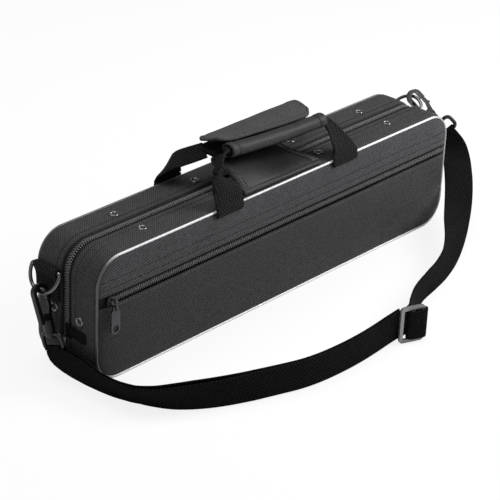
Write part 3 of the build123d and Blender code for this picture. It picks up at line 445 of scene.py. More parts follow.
# ---- outline of the case
def outline_loop(straight=3.0, arc=1.5):
    """The case's outline from the middle of its underside, anticlockwise: point, normal, reach."""
    flat = HALF_LENGTH - CORNER
    upright = HEIGHT - 2 * CORNER
    runs = [((0, 0), (flat, 0)), (flat, CORNER, -90), ((HALF_LENGTH, CORNER), (HALF_LENGTH, CORNER + upright)),
            (flat, HEIGHT - CORNER, 0), ((flat, HEIGHT), (-flat, HEIGHT)), (-flat, HEIGHT - CORNER, 90),
            ((-HALF_LENGTH, CORNER + upright), (-HALF_LENGTH, CORNER)), (-flat, CORNER, 180), ((-flat, 0), (0, 0))]
    normals = [(0, -1), None, (1, 0), None, (0, 1), None, (-1, 0), None, (0, -1)]
    places, facing = [], []
    for run, normal in zip(runs, normals):
        if normal is None:
            cx, cz, start = run
            count = int(CORNER * math.pi / 2 / arc)
            for k in range(count):
                angle = math.radians(start + 90 * k / count)
                places.append((cx + CORNER * math.cos(angle), cz + CORNER * math.sin(angle)))
                facing.append((math.cos(angle), math.sin(angle)))
        else:
            (x0, z0), (x1, z1) = run
            count = max(2, int(math.hypot(x1 - x0, z1 - z0) / straight))
            for k in range(count):
                t = k / count
                places.append((x0 + (x1 - x0) * t, z0 + (z1 - z0) * t))
                facing.append(normal)
    places, facing = np.array(places), np.array(facing)
    return places, facing, reach_along(np.vstack([places, places[:1]]))


OUT, OUT_N, OUT_REACH = outline_loop()
TOP_RUN = np.flatnonzero(OUT[:, 1] > ZIP_END_Z)
TOP_FACING = columns(OUT_N[TOP_RUN, 0], 0.0, OUT_N[TOP_RUN, 1])


def on_outline(y, inset, index=slice(None)):
    """Points at depth y and an inset, all round the outline."""
    p = OUT[index] - inset * OUT_N[index]
    return columns(p[..., 0], y, p[..., 1])


# ---- case halves
STITCH_ROWS = {"front": (11.4, 18.8), "rear": (10.2,)}


def half_band(name, side, depth, body, node_name, seed):
    """One half's cloth-covered band: crowned outside, stitch rows, zip groove and inner wall."""
    rows = [(depth - 1.5, 2.6), (depth - 2.2, 0.9), (depth - 3.2, 0.25)]
    rows += [(t, 0.0) for t in np.arange(depth - 4.2, 7.4, -0.62)]
    rows += [(7.0, 0.0), (6.5, 0.16), (6.15, 0.55), (6.0, 1.1), (6.0, 3.05), (4.85, 3.05), (4.8, 3.3), (4.8, 5.9)]
    rows += [(6.0, 6.0), (12.0, 6.0), (20.0, 6.0), (depth - 1.6, 6.0), (depth - 1.5, 4.2)]
    groove_first = next(i for i, row in enumerate(rows) if row == (6.0, 3.05))
    low = ease((HINGE_HALF + 3 - np.abs(OUT[:, 0])) / 6.0) * (OUT[:, 1] < 0.5)
    off_floor = ease(OUT[:, 1] / 14.0)
    grid, uv = [], []
    across = 0.0
    before = rows[0]
    for i, (t, inset) in enumerate(rows):
        across += math.hypot(t - before[0], inset - before[1])
        before = (t, inset)
        t_here = np.full(len(OUT), t)
        inset_here = np.full(len(OUT), inset, dtype=float)
        if groove_first <= i <= groove_first + 3:
            seat = ((6.0, 0.9), (1.1, 0.9), (0.4, 1.1), (0.4, 5.9))[i - groove_first]
            t_here = t_here * (1 - low) + seat[0] * low
            inset_here = inset_here * (1 - low) + seat[1] * low
        if inset < 0.2 and t > 7.2:
            middle = (depth + GROOVE_HALF) / 2
            crown = 0.55 * (1 - ((t - middle) / (middle - GROOVE_HALF)) ** 2)
            points = columns(OUT[:, 0], side * t, OUT[:, 1])
            wave = 0.30 * soft_noise(points, 38.0, seed) + 0.10 * soft_noise(points, 11.0, seed + 1)
            pucker = np.zeros(len(OUT))
            for row in STITCH_ROWS[name.split("_")[0]]:
                near = math.exp(-((t - row) / 0.55) ** 2)
                wide = math.exp(-((t - row) / 2.2) ** 2)
                pucker += -0.42 * near + 0.07 * wide * np.sin(2 * math.pi * OUT_REACH[:-1] / 6.4)
            inset_here = inset_here - (crown + wave + pucker) * off_floor
        p = OUT - inset_here[:, None] * OUT_N
        grid.append(columns(p[:, 0], side * t_here, p[:, 1]))
        uv.append(columns(OUT_REACH, across))
    uv.append(uv[0] + [0, across])
    obj = grid_object(name, np.array(grid), np.array(uv), close_rows=True, close_cols=True)
    return dress(obj, BAND_CLOTH, body, [node_name])


def band_stitches(half, side, body):
    """The sewn rows round a band, from one zip end over the top to the other."""
    for number, t in enumerate(STITCH_ROWS[half]):
        sew(f"{half}_band_stitches_{number + 1}", on_outline(side * t, -0.18, TOP_RUN), TOP_FACING, body)


def piping_welt(name, side, depth, material, body, node_name):
    """The reflective piping, with the slight unevenness of a sewn cord."""
    centre = on_outline(side * (depth - PIPING_INSET), PIPING_INSET)
    swell = 1 + 0.035 * soft_noise(centre, 5.0, 3)
    sides, facet = 14, 0.67
    rows = []
    for angle in np.linspace(0, 2 * math.pi, sides, endpoint=False):
        out = np.cos(angle) * PIPING_RADIUS * swell
        deep = np.sin(angle) * PIPING_RADIUS * swell
        rows.append(centre + columns(OUT_N[:, 0] * out, side * deep, OUT_N[:, 1] * out))
    uv = [columns(OUT_REACH, k * facet) for k in range(sides + 1)]
    obj = grid_object(name, np.array(rows), np.array(uv), close_rows=True, close_cols=True)
    dress(obj, material, body, [node_name])


def panel_face(name, z_low, z_high, depth, side, seed, body, replaced, seams=(), fold=None, cloth=PANEL_CLOTH):
    """A padded cloth face inside the piping between two heights, crowned and sewn: its grid."""
    rows = max(12, int((z_high - z_low) / 1.4))
    near_seams = [seam + step for seam in seams for step in (-0.7, -0.35, 0, 0.35, 0.7)]
    heights = np.concatenate([np.linspace(z_low, z_high, rows), near_seams])
    heights = np.array(sorted(set(np.round(heights, 3))))
    bend = 0.06 * (1 - np.cos(np.linspace(0, math.pi / 2, 9)[:-1]))
    across = np.concatenate([-1 + bend, np.linspace(-0.94, 0.94, 170), (1 - bend)[::-1]])
    radius = CORNER - FACE_INSET
    grid = np.zeros((len(heights), len(across), 3))
    for r, z in enumerate(heights):
        edge = min(max(z, FACE_INSET), HEIGHT - FACE_INSET)
        over = max(CORNER - edge, edge - (HEIGHT - CORNER), 0.0)
        reach = HALF_LENGTH - CORNER + math.sqrt(max(radius ** 2 - min(over, radius) ** 2, 0.0))
        grid[r, :, 0] = across * reach
        grid[r, :, 2] = edge
    x, z = grid[..., 0], grid[..., 2]
    corner_x = np.maximum(np.abs(x) - (HALF_LENGTH - CORNER), 0)
    corner_z = np.maximum(np.maximum(CORNER - z, z - (HEIGHT - CORNER)), 0)
    in_corner = (corner_x > 0) & (corner_z > 0)
    border = np.minimum(np.minimum(HALF_LENGTH - np.abs(x), z), HEIGHT - z)
    border = np.where(in_corner, CORNER - np.hypot(corner_x, corner_z), border)
    rise = 1 - np.exp(-np.maximum(border - FACE_INSET, 0) / 2.2)
    swell = 1.1 * rise * (1 - np.exp(-np.maximum(border, 0) / 22.0))
    probe = columns(x, seed * 3.0, z)
    wave = 0.55 * soft_noise(probe, 55.0, seed) + 0.16 * soft_noise(probe, 16.0, seed + 2)
    lift = 1.45 * rise + swell + wave * rise
    for seam in seams:
        away = np.abs(z - seam)
        lift -= 0.40 * np.exp(-(away / 0.45) ** 2)
        lift += 0.06 * np.exp(-(away / 2.0) ** 2) * np.sin(2 * math.pi * x / 5.6)
    if fold is not None:
        away = np.abs(z - fold)
        lift += 0.45 * np.exp(-(away / 1.6) ** 2)
    grid[..., 1] = side * (depth - FACE_SET_BACK + lift)
    dress(thicken(grid_object(name, grid, grid[..., ::2]), 1.3), cloth, body, replaced)
    return grid


def surface_line(grid, z, out=0.1):
    """A line across a panel face at a height, standing a little proud of it."""
    line = grid[int(np.argmin(np.abs(grid[:, len(grid[0]) // 2, 2] - z)))].copy()
    side = math.copysign(1, line[0, 1])
    line[:, 1] += side * out
    return line, np.tile([0, side, 0], (len(line), 1))


for half, side, depth, body, seed, film in (("front", -1, FRONT_DEPTH, "lid", 1, PIPING),
                                            ("rear", 1, REAR_DEPTH, "root", 4, REAR_PIPING_PAINTED_SHADE)):
    half_band(f"{half}_band_cloth", side, depth, body, f"{half}_band", seed)
    band_stitches(half, side, body)
    piping_welt(f"{half}_piping_cord", side, depth, film, body, f"{half}_piping")

UPPER_EDGE = POCKET_ZIP_Z + POCKET_TAPE_HALF + 0.2
LOWER_EDGE = POCKET_ZIP_Z - POCKET_TAPE_HALF - 0.2
UPPER_SEAMS = (80.4, 87.4)
LOWER_SEAM = 64.4
# The upper panel is dressed in the cloth with painted light.
upper_grid = panel_face("upper_panel_cloth", UPPER_EDGE, HEIGHT - FACE_INSET, FRONT_DEPTH, -1, 7, "lid",
                        ["upper_panel"], UPPER_SEAMS, fold=UPPER_EDGE, cloth=UPPER_CLOTH_PAINTED_LIGHT)
pocket_grid = panel_face("pocket_cloth", FACE_INSET, LOWER_EDGE, FRONT_DEPTH, -1, 9, "lid",
                         ["pocket_panel"], (LOWER_SEAM,), fold=LOWER_EDGE)
panel_face("rear_panel_cloth", FACE_INSET, HEIGHT - FACE_INSET, REAR_DEPTH, 1, 12, "root", ["rear_panel"])
for number, seam in enumerate(UPPER_SEAMS):
    sew(f"upper_panel_stitches_{number + 1}", *surface_line(upper_grid, seam), "lid")
sew("pocket_stitches", *surface_line(pocket_grid, LOWER_SEAM), "lid", PALE_THREAD)


# ---- zippers
def coil_places(line, along, facing, side, slant, out, shift=0.0):
    """A slanted tooth at each point of a zipper's line, on one side of it."""
    places = []
    for origin, x, z in zip(line, along, facing):
        y = np.cross(z, x)
        tooth = unit(side * y + slant * x)
        places.append((origin + side * y * out + x * shift + z * 0.75, tooth, np.cross(z, tooth), z))
    return places


def main_zip(side, body, name):
    """The main zipper's tape and coil on one half, with the tape's edge under the cloth."""
    inset = GROOVE_DEPTH - 0.8
    profile = [(6.2, 3.0), (6.0, inset), (3.4, inset - 0.05), (1.2, inset), (0.95, inset + 0.2),
               (1.0, inset + 0.75), (6.1, inset + 0.8)]
    reach = OUT_REACH[TOP_RUN]
    grid = np.array([on_outline(side * t, i, TOP_RUN) for t, i in profile])
    uv = np.array([columns(reach, k * 2.0) for k in range(len(profile))])
    dress(grid_object(f"{name}_tape_cloth", grid, uv), TAPE, body, [f"{name}_zip_tape"])
    line, along = resample(on_outline(0.0, inset, TOP_RUN), TOOTH_PITCH)
    if side > 0:
        line = line + along * (TOOTH_PITCH / 2)
    facing = unit(interp_rows(np.linspace(reach[0], reach[-1], len(line)), reach, TOP_FACING))
    sign = side if np.cross(facing[0], along[0])[1] > 0 else -side
    tooth = 3.4
    places = coil_places(line, along, facing, sign, 0.35, tooth / 2 - 0.55)
    teeth = copies_object(f"{name}_coil_teeth", *capsule(tooth, 0.62), places)
    dress(teeth, COIL, body, [f"{name}_zip_coil"])


def pocket_zip():
    """The pocket's zipper: tapes from behind the cloth edges, and the coil along their meeting."""
    face = -(FRONT_DEPTH - FACE_SET_BACK)
    reach = HALF_LENGTH - 3.6
    xs = np.linspace(-reach, reach, 140)
    profile = [(-5.6, 0.5), (-4.4, -0.25), (-2.6, -0.55), (-0.35, -0.6), (0.35, -0.6), (2.6, -0.55),
               (4.4, -0.25), (5.6, 0.5)]
    grid = np.array([[(x, face + deep, POCKET_ZIP_Z + h) for x in xs] for h, deep in profile])
    uv = np.array([[(x, h) for x in xs] for h, deep in profile])
    dress(grid_object("pocket_tape_cloth", grid, uv), TAPE, "lid", ["pocket_zip_tape"])
    run = [(x, face - 0.75, POCKET_ZIP_Z) for x in np.linspace(-191, reach - 1, 40)]
    line, along = resample(run, POCKET_TOOTH_PITCH)
    facing = np.tile([0.0, -1.0, 0.0], (len(line), 1))
    places = []
    for side in (-1, 1):
        places += coil_places(line, along, facing, side, 0.30, 1.0, side * 0.5)
    teeth = copies_object("pocket_coil_teeth", *capsule(2.9, 0.60), places)
    dress(teeth, COIL, "lid", ["pocket_zip_coil"])


main_zip(-1, "lid", "front")
main_zip(1, "root", "rear")
pocket_zip()


def rivet_heads(half, y_top, y_end, z_end, body):
    """The rivets of one half: a bright rolled rim round a hollow, whose near-black metal is painted shade."""
    places = [((x, y_top, HEIGHT), (1, 0, 0), (0, 1, 0), (0, 0, 1)) for x in RIVET_XS]
    places += [((side * HALF_LENGTH, y_end, z_end), (0, side, 0), (0, 0, 1), (side, 0, 0)) for side in (-1, 1)]
    rim = [(4.1, -0.6), (4.1, 0.75), (3.75, 1.25), (3.2, 1.45), (2.6, 1.3), (2.1, 0.8), (1.9, 0.2), (1.9, -0.6)]
    hollow = [(2.2, -0.5), (2.2, 0.45), (1.5, 0.2), (0.9, 0.12), (0.02, 0.1), (0.02, -0.5)]
    angles = np.linspace(0, 2 * math.pi, 24, endpoint=False)
    for tag, profile, material in (("rims", rim, RIVET_METAL), ("hollows", hollow, RIVET_HOLLOW_PAINTED_SHADE)):
        verts = [(r * math.cos(a), r * math.sin(a), h) for r, h in profile for a in angles]
        here = np.arange(len(verts)).reshape(len(profile), -1)
        after = np.roll(here, -1, axis=0)
        quads = np.stack([here, np.roll(here, -1, axis=1), np.roll(after, -1, axis=1), after], axis=-1)
        heads = copies_object(f"{half}_rivet_{tag}", verts, quads.reshape(-1, 4).tolist(), places)
        dress(heads, material, body, [f"{half}_rivets"])


rivet_heads("front", -16.0, -16.0, 50.0, "lid")
rivet_heads("rear", 15.5, 12.0, 52.0, "root")


# ---- hinge strip and gussets
def hinge_cloth():
    """The cloth hinge under both halves, with a fine crease along its middle."""
    ys = np.linspace(-5.9, 5.9, 13)
    xs = np.linspace(-HINGE_HALF, HINGE_HALF, 120)
    top = [[(x, y, HINGE_THICKNESS) for x in xs] for y in ys]
    low = [[(x, y, 0.02 + 0.22 * math.exp(-(y / 0.7) ** 2)) for x in xs] for y in ys[::-1]]
    grid = np.array(top + low)
    uv = np.array([[(x, 0.9 * k) for x in xs] for k in range(len(grid) + 1)])
    obj = grid_object("hinge_cloth", grid, uv, close_rows=True)
    return dress(obj, BAND_CLOTH, None, ["hinge_strip"])


def gusset_cloth(name, side, node_name):
    """Gathered cloth that closes the zipper's lower end, in folds round the lower corner."""
    keep = [i for i in range(len(OUT)) if OUT[i, 1] < ZIP_END_Z and side * OUT[i, 0] > HINGE_HALF]
    keep.sort(key=lambda i: OUT[i, 1])
    p, n = OUT[keep], OUT_N[keep]
    reach = reach_along(p)
    ys = np.linspace(-5.8, 5.8, 25)
    grid, uv = [], []
    for y in ys:
        share = ease(reach / 10.0) * ease((reach[-1] - reach) / 8.0)
        folds = 1.1 * np.sin(2 * math.pi * (y / 4.6) + 1.3 * np.sin(reach / 5.0)) + 0.8 * np.sin(reach / 2.6 + 0.8 * y)
        bulge = share * (1.3 + folds) * (1 - (abs(y) / 6.4) ** 4)
        low = ease(p[:, 1] / 10.0)
        out = np.where(p[:, 1] < 1.0, 0.0, bulge) * low - 0.8
        grid.append(columns(p[:, 0] + n[:, 0] * out, y, p[:, 1] + n[:, 1] * out))
        uv.append(columns(reach, y))
    obj = thicken(grid_object(name, np.array(grid), np.array(uv)), 0.5)
    return dress(obj, BAND_CLOTH, None, [node_name])


def tape_tail(name, side):
    """The pale tail of zipper tape that comes from under the end tab and lies on the gathered cloth."""
    line = smooth_line([(side * 212.4, -1.0, 31.0), (side * 213.2, -1.6, 24.0), (side * 212.2, -2.6, 16.0),
                        (side * 207.2, -4.0, 7.6)], 24)
    return dress(ribbon(name, line, [0, 1.0, 0.1], np.linspace(3.2, 4.0, 24), 0.6), PALE_TAPE, None)


blended = [hinge_cloth()]
for tag, side in SIDES:
    blended += [gusset_cloth(f"{tag}_gusset_cloth", side, f"{tag}_gusset"), tape_tail(f"{tag}_tape_tail", side)]
for obj in blended:
    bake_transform(obj)


def zip_tab(name, side):
    """The webbing tab folded over the zipper's lower end and sewn to the front band."""
    x = side * (HALF_LENGTH + 1.0)
    line = smooth_line([(x - side * 1.2, -23.2, 37.4), (x, -21.5, 37.6), (x + side * 0.4, -14, 38.2),
                        (x, -6.5, 38.6), (x + side * 0.2, -2.5, 38.9), (x - side * 1.0, -0.9, 39.0)], 26)
    dress(ribbon(name, line, [0, 0.04, 1.0], 9.0, 1.9), STRAP, "lid", ["zip_end_tabs"])


for tag, side in SIDES:
    zip_tab(f"{tag}_zip_tab", side)


# ---- carrying handle
def handle_foot(half, tag, x, side, depth, body):
    """A webbing foot: sewn to the panel, and bent over the piping on to the top."""
    y = side * (depth + 1.05)
    line = smooth_line([(x, y, 101.5), (x, y + side * 0.35, 104.0), (x, y + side * 0.3, 106.2), (x, y, 107.3)], 16)
    foot = ribbon(f"{half}_{tag}_foot", line, [1.0, 0, 0], WEBBING_WIDTH, WEBBING_THICKNESS)
    dress(foot, WEBBING, body, [f"{half}_handle_feet"])
    sewn = [(x + reach, y + side * 1.1, 102.9) for reach in (-12.5, 12.5)]
    sew(f"{half}_{tag}_foot_stitches", sewn, [(0, side, 0)] * 2, body, pitch=2.6, length=1.9)


def handle_leg(half, tag, route):
    """A leg of a handle, from stations of point, width direction, width and cup from foot to grip."""
    flat = smooth_line(route, 64)
    leg = ribbon(f"{half}_{tag}_leg", flat[:, :3], flat[:, 3:6], flat[:, 6], WEBBING_THICKNESS, flat[:, 7])
    dress(leg, WEBBING, f"{half}_handle", [f"{half}_handle_webbing"])


for tag, side in SIDES:
    handle_foot("front", tag, side * FOOT_X, -1, FRONT_DEPTH, "lid")
    handle_foot("rear", tag, side * FOOT_X, 1, REAR_DEPTH, "root")
    handle_leg("rear", tag, [
        (side * 69, 33.6, 107.0, -side, 0, 0, 30, 0), (side * 69.8, 33.5, 112.0, -side, 0, 0.05, 29, 0),
        (side * 71.3, 32.4, 117.0, -side * 0.97, 0.15, 0.15, 26, 0.4),
        (side * 72.3, 29.6, 121.5, -side * 0.85, 0.42, 0.32, 22, 0.7),
        (side * 71.3, 25.4, 125.5, -side * 0.72, 0.55, 0.40, 18.5, 0.7),
        (side * 67.8, 20.4, 129.0, -side * 0.50, 0.66, 0.55, 16, 0.4),
        (side * 61.5, 14.4, 132.3, -side * 0.32, 0.66, 0.68, 14.5, 0),
        (side * 53.0, 8.8, 135.2, -side * 0.12, 0.80, 0.55, 14, 0)])
handle_leg("front", "left", [
    (-69, -35.6, 107.0, 1, 0, 0, 30, 0), (-69, -34.9, 110.2, 1, 0, 0, 30, 0),
    (-70, -33.2, 115.5, 1, -0.05, 0, 29, -0.8), (-72, -30.5, 121.0, 0.95, 0.1, 0.25, 25, -2.0),
    (-73.5, -27.0, 127.0, 0.8, 0.4, 0.45, 18, -2.6), (-72.0, -23.5, 132.5, 0.55, 0.75, 0.3, 15, -2.0),
    (-66.5, -19.5, 137.5, 0.3, 0.8, -0.5, 13, -1.2), (-59.0, -15.5, 140.6, 0.1, 0.75, -0.65, 11, -0.6),
    (-52.0, -14.0, 141.4, 0.0, 0.7, -0.7, 9.5, 0)])
handle_leg("front", "right", [
    (69, -35.6, 107.0, 1, 0, 0, 30, 0), (69, -34.8, 110.2, 1, 0, 0, 29.5, 0),
    (68.6, -32.0, 116.0, 1, 0.1, 0.0, 26, 0.8), (67.6, -27.5, 122.6, 0.95, 0.25, 0.1, 21, 1.8),
    (66.6, -22.5, 128.4, 0.85, 0.45, 0.25, 16, 2.2), (64.6, -17.8, 132.8, 0.6, 0.7, 0.4, 12.5, 1.8),
    (61.5, -14.8, 135.2, 0.2, 0.8, 0.55, 10, 0.8), (58.5, -14.5, 135.7, 0.0, 0.75, 0.65, 8.5, 0)])
rear_grip = ribbon("rear_grip_webbing", [(x, 7.0, 135.2) for x in np.linspace(-54, 54, 60)], [0, 1.0, 0], 20.0, 4.6)
dress(rear_grip, WEBBING, "rear_handle", ["rear_handle_webbing"])

SLEEVE_LEFT, SLEEVE_RIGHT = np.array([-51.0, -14.0, 142.0]), np.array([61.5, -14.5, 135.6])


def sleeve_axis(share):
    """The middle of the sleeve, from its left end at 0 to its right end at 1, sagging between."""
    share = np.asarray(share, float)[..., None]
    return SLEEVE_LEFT + (SLEEVE_RIGHT - SLEEVE_LEFT) * share + np.array([0, 0, -1.6]) * 4 * share * (1 - share)


def tube_rows(shares, radius, sides=40):
    """Rings round the sleeve's axis, a little wider than high."""
    angles = np.linspace(0, 2 * math.pi, sides, endpoint=False)
    rows = []
    for centre, r in zip(sleeve_axis(shares), np.broadcast_to(radius, (len(shares),))):
        ring = columns(0.0, 1.12 * r * np.cos(angles), r * np.sin(angles))
        rows.append(centre + ring)
    return np.array(rows)


def grip_sleeve():
    """The padded sleeve, with bound ends that are rolled in and a long wrinkle or two."""
    shares = np.concatenate([[0, 0.006], np.linspace(0.015, 0.985, 90), [0.994, 1]])
    swell = np.full(len(shares), SLEEVE_RADIUS)
    swell[[0, -1]] -= 1.1
    swell[[1, -2]] -= 0.3
    seams = (0.075, 0.925)
    for at in seams:
        swell -= 0.55 * np.exp(-((shares - at) / 0.008) ** 2)
    swell += 0.35 * (np.abs(shares - 0.5) > 0.43)
    outer = tube_rows(shares, swell)
    centre = sleeve_axis(shares)[:, None, :]
    lumps = 0.35 * soft_noise(outer, 14.0, 21) + 0.12 * soft_noise(outer, 5.0, 22)
    outer = outer + unit(outer - centre) * (lumps - 0.15)[..., None]
    inner = tube_rows(np.array([0.997, 0.96, 0.04, 0.003]), 4.4)
    grid = np.concatenate([outer, inner])
    turn = 2 * math.pi * SLEEVE_RADIUS / grid.shape[1]
    uv = np.array([[(grid[r % len(grid), 0, 0], c * turn) for c in range(grid.shape[1] + 1)]
                   for r in range(len(grid) + 1)])
    sleeve = grid_object("grip_sleeve_cloth", grid, uv, close_rows=True, close_cols=True)
    dress(sleeve, COATED, "front_handle", ["grip_sleeve"])
    core = ribbon("grip_core_webbing", sleeve_axis(np.linspace(-0.02, 1.02, 30)), [0, 0.8, 0.6], 7.4, 4.4)
    dress(core, WEBBING, "front_handle", ["front_handle_webbing"])
    angles = np.linspace(0, 2 * math.pi, 40)
    facing = columns(0.0, np.cos(angles), np.sin(angles))
    for (tag, side), at in zip(SIDES, seams):
        ring = sleeve_axis(at) + facing * [0, 1.12 * 5.5, 5.5]
        sew(f"sleeve_{tag}_stitches", ring, facing, "front_handle", pitch=2.2, length=1.6)


def sheet_piece(name, middle, thickness, node_name, material, seed, seam, wave_size=0.3):
    """A thick cloth piece from a grid of middle points: rounded edges, and a sewn groove inside its edge."""
    du, dv = np.gradient(middle, axis=1), np.gradient(middle, axis=0)
    normal = unit(np.cross(du, dv))
    step_u, step_v = np.linalg.norm(du, axis=-1), np.linalg.norm(dv, axis=-1)
    reach_u = np.cumsum(step_u, axis=1) - step_u[:, :1]
    reach_v = np.cumsum(step_v, axis=0) - step_v[:1]
    edge_u = np.minimum(reach_u, reach_u[:, -1:] - reach_u)
    edge_v = np.minimum(reach_v, reach_v[-1:] - reach_v)
    edge = np.minimum(edge_u, edge_v)
    inward = np.clip(edge / 1.3, 0.0, 1.0)
    half = 0.5 * thickness * np.sqrt(inward * (2 - inward))
    wave = wave_size * soft_noise(middle, 26.0, seed) + 0.3 * wave_size * soft_noise(middle, 9.0, seed + 1)
    groove = -0.4 * np.exp(-((edge - seam) / 0.55) ** 2) + 0.25 * (edge < seam - 0.6)
    top = middle + normal * (half + groove + wave)[..., None]
    low = middle + normal * (-half + wave)[..., None]
    uv_top = columns(reach_u, reach_v)
    uv = np.concatenate([uv_top, uv_top[::-1], uv_top[:1]])
    obj = grid_object(name, np.concatenate([top, low[::-1]]), uv, close_rows=True)
    dress(obj, material, "front_handle", [node_name])
    return top, normal


def seam_ring(name, top, normal, r, c):
    """Stitches on a sheet piece, r rows and c columns of its grid in from its border."""
    last_r, last_c = top.shape[0] - 1 - r, top.shape[1] - 1 - c
    loop = [(r, k) for k in range(c, last_c + 1)] + [(k, last_c) for k in range(r, last_r + 1)]
    loop += [(last_r, k) for k in range(last_c, c - 1, -1)] + [(k, c) for k in range(last_r, r - 1, -1)]
    rows, cols = zip(*loop)
    sew(name, top[rows, cols], normal[rows, cols], "front_handle", pitch=2.6, length=1.8)


def bound_ends(name, top, normal, wide):
    """The binding folded over the ends of a sheet piece and sewn through."""
    for tag, step in SIDES:
        face, facing = top[4:-4, ::-step], normal[4:-4, ::-step]
        reach = reach_along(face[len(face) // 2])
        keep = int(np.searchsorted(reach, wide)) + 1
        out = unit(face[:, :1] - face[:, 2:3])
        strip = face[:, :keep] + facing[:, :keep] * 0.42
        rolled = [face[:, :1] + out * 0.7 - facing[:, :1] * 1.6, face[:, :1] + out * 0.9 - facing[:, :1] * 0.4]
        grid = np.concatenate(rolled + [strip], axis=1)
        run = reach_along(grid[:, 1])
        uv = columns(run[:, None], np.concatenate([[-2, -1], reach[:keep]])[None])
        binding = thicken(grid_object(f"{name}_{tag}_binding", grid, uv), 0.5)
        dress(binding, BINDING, "front_handle")
        for number, column in enumerate((2, keep - 2)):
            face_out = facing[2:-2, column]
            sew(f"{name}_{tag}_binding_stitches_{number + 1}", strip[2:-2, column] + face_out * 0.3, face_out,
                "front_handle", pitch=2.6, length=1.8)


def upper_flap():
    """The wrap's upper flap: over both grips, with its front edge lying on the sleeve."""
    us, vs = np.linspace(-1, 1, 90), np.linspace(0, 1, 44)
    front_z = ((-57, 149.9), (-45, 147.6), (-38, 146.4), (-27, 145.6), (-3, 143.8), (20, 142.3), (38, 141.2),
               (57, 140.6))
    front_y, rear_y, corner = -10.6, 17.0, 13.0
    middle = np.zeros((len(vs), len(us), 3))
    for c, u in enumerate(us):
        x = u * GRIP_HALF
        low = np.interp(x, *zip(*front_z))
        over = max(abs(x) - (GRIP_HALF - corner), 0.0)
        trim = corner - math.sqrt(max(corner ** 2 - over ** 2, 0.0))
        first, last = rear_y - 0.6 * trim, front_y + trim * (0.9 if x > 0 else 0.5)
        profile = smooth_line([(rear_y - 0.2, 140.2), (14.5, 143.4), (8, 145.4), (0, 0.55 * 145.8 + 0.45 * low + 0.3),
                               (-6, low + 0.8), (front_y, low)], 60)
        for r, v in enumerate(vs):
            y = first + v * (last - first)
            middle[r, c] = (x, y, np.interp(-y, -profile[:, 0], profile[:, 1]))
    top, normal = sheet_piece("upper_flap_cloth", middle[::-1], 2.6, "wrap_upper_flap", WRAP_CLOTH, 31, 4.0)
    seam_ring("upper_flap_stitches", top, normal, 6, 3)


def lower_flap():
    """The wrap's lower flap: from under the sleeve back, then folded forward along the case's top."""
    us = np.linspace(-1, 1, 80)
    left_path = [(-13.0, 136.6), (-7.0, 134.2), (0.0, 131.0), (4.5, 127.0), (2.0, 124.0), (-6.0, 124.6), (-13.0, 123.6),
                 (-21.0, 119.6), (-28.0, 114.6), (-33.6, 109.6)]
    right_path = [(-15.0, 130.0), (-6.0, 126.6), (4.0, 122.0), (13.0, 116.8), (15.4, 112.4), (8.0, 110.2),
                  (-4.0, 109.6), (-16.0, 110.2), (-25.0, 110.6), (-32.8, 108.9)]
    middle = np.zeros((72, len(us), 3))
    for c, u in enumerate(us):
        share = ease((u + 1) / 2 * 1.15)
        path = smooth_line([(l[0] * (1 - share) + r[0] * share, l[1] * (1 - share) + r[1] * share)
                            for l, r in zip(left_path, right_path)], 72)
        x = -3.5 + u * 46.5 * np.linspace(0.94, 1.0, 72)
        dip = -0.9 * np.sin(math.pi * np.clip((np.arange(72) - 34) / 38.0, 0, 1)) * math.cos(u * 5.5) * 0.6
        middle[:, c] = columns(x, path[:, 0], path[:, 1] + dip)
    top, normal = sheet_piece("lower_flap_cloth", middle[::-1], 2.0, "wrap_lower_flap", COATED, 33, 3.6, 0.35)
    seam_ring("lower_flap_stitches", top, normal, 4, 3)
    bound_ends("lower_flap", top, normal, 7.5)


grip_sleeve()
upper_flap()
lower_flap()


# ---- ring tabs
def ring_tab(tag, side):
    """The webbing tab round a ring's bar: two layers down the band, folded over the bar."""
    turn = [(math.cos(a), math.sin(a)) for a in np.linspace(-0.3, math.pi * 0.98, 9)]
    loop = [(RING_BAR_X + 2.25 * c, RING_BAR_Z + 2.25 * s) for c, s in turn]
    path = [(211.9, 58.4), (212.0, 66.0), (212.6, 76.0), (214.6, 81.6)] + loop[1:]
    path += [(210.75, 80.5), (210.5, 70.0), (210.45, 58.4)]
    line = [(side * x, RING_TAB_Y, z) for x, z in smooth_line(path, 70)]
    tab = ribbon(f"{tag}_tab_webbing", line, [0, 1.0, 0], 25.0, 1.15)
    dress(tab, WEBBING, "root", [f"{tag}_ring_tab"])
    for number, z in enumerate((74.5, 61.0)):
        sewn = [(side * 213.0, y, z) for y in (6.8, 29.2)]
        sew(f"{tag}_tab_webbing_stitches_{number + 1}", sewn, [(side, 0, 0)] * 2, "root", pitch=2.6, length=1.9)


for tag, side in SIDES:
    ring_tab(tag, side)


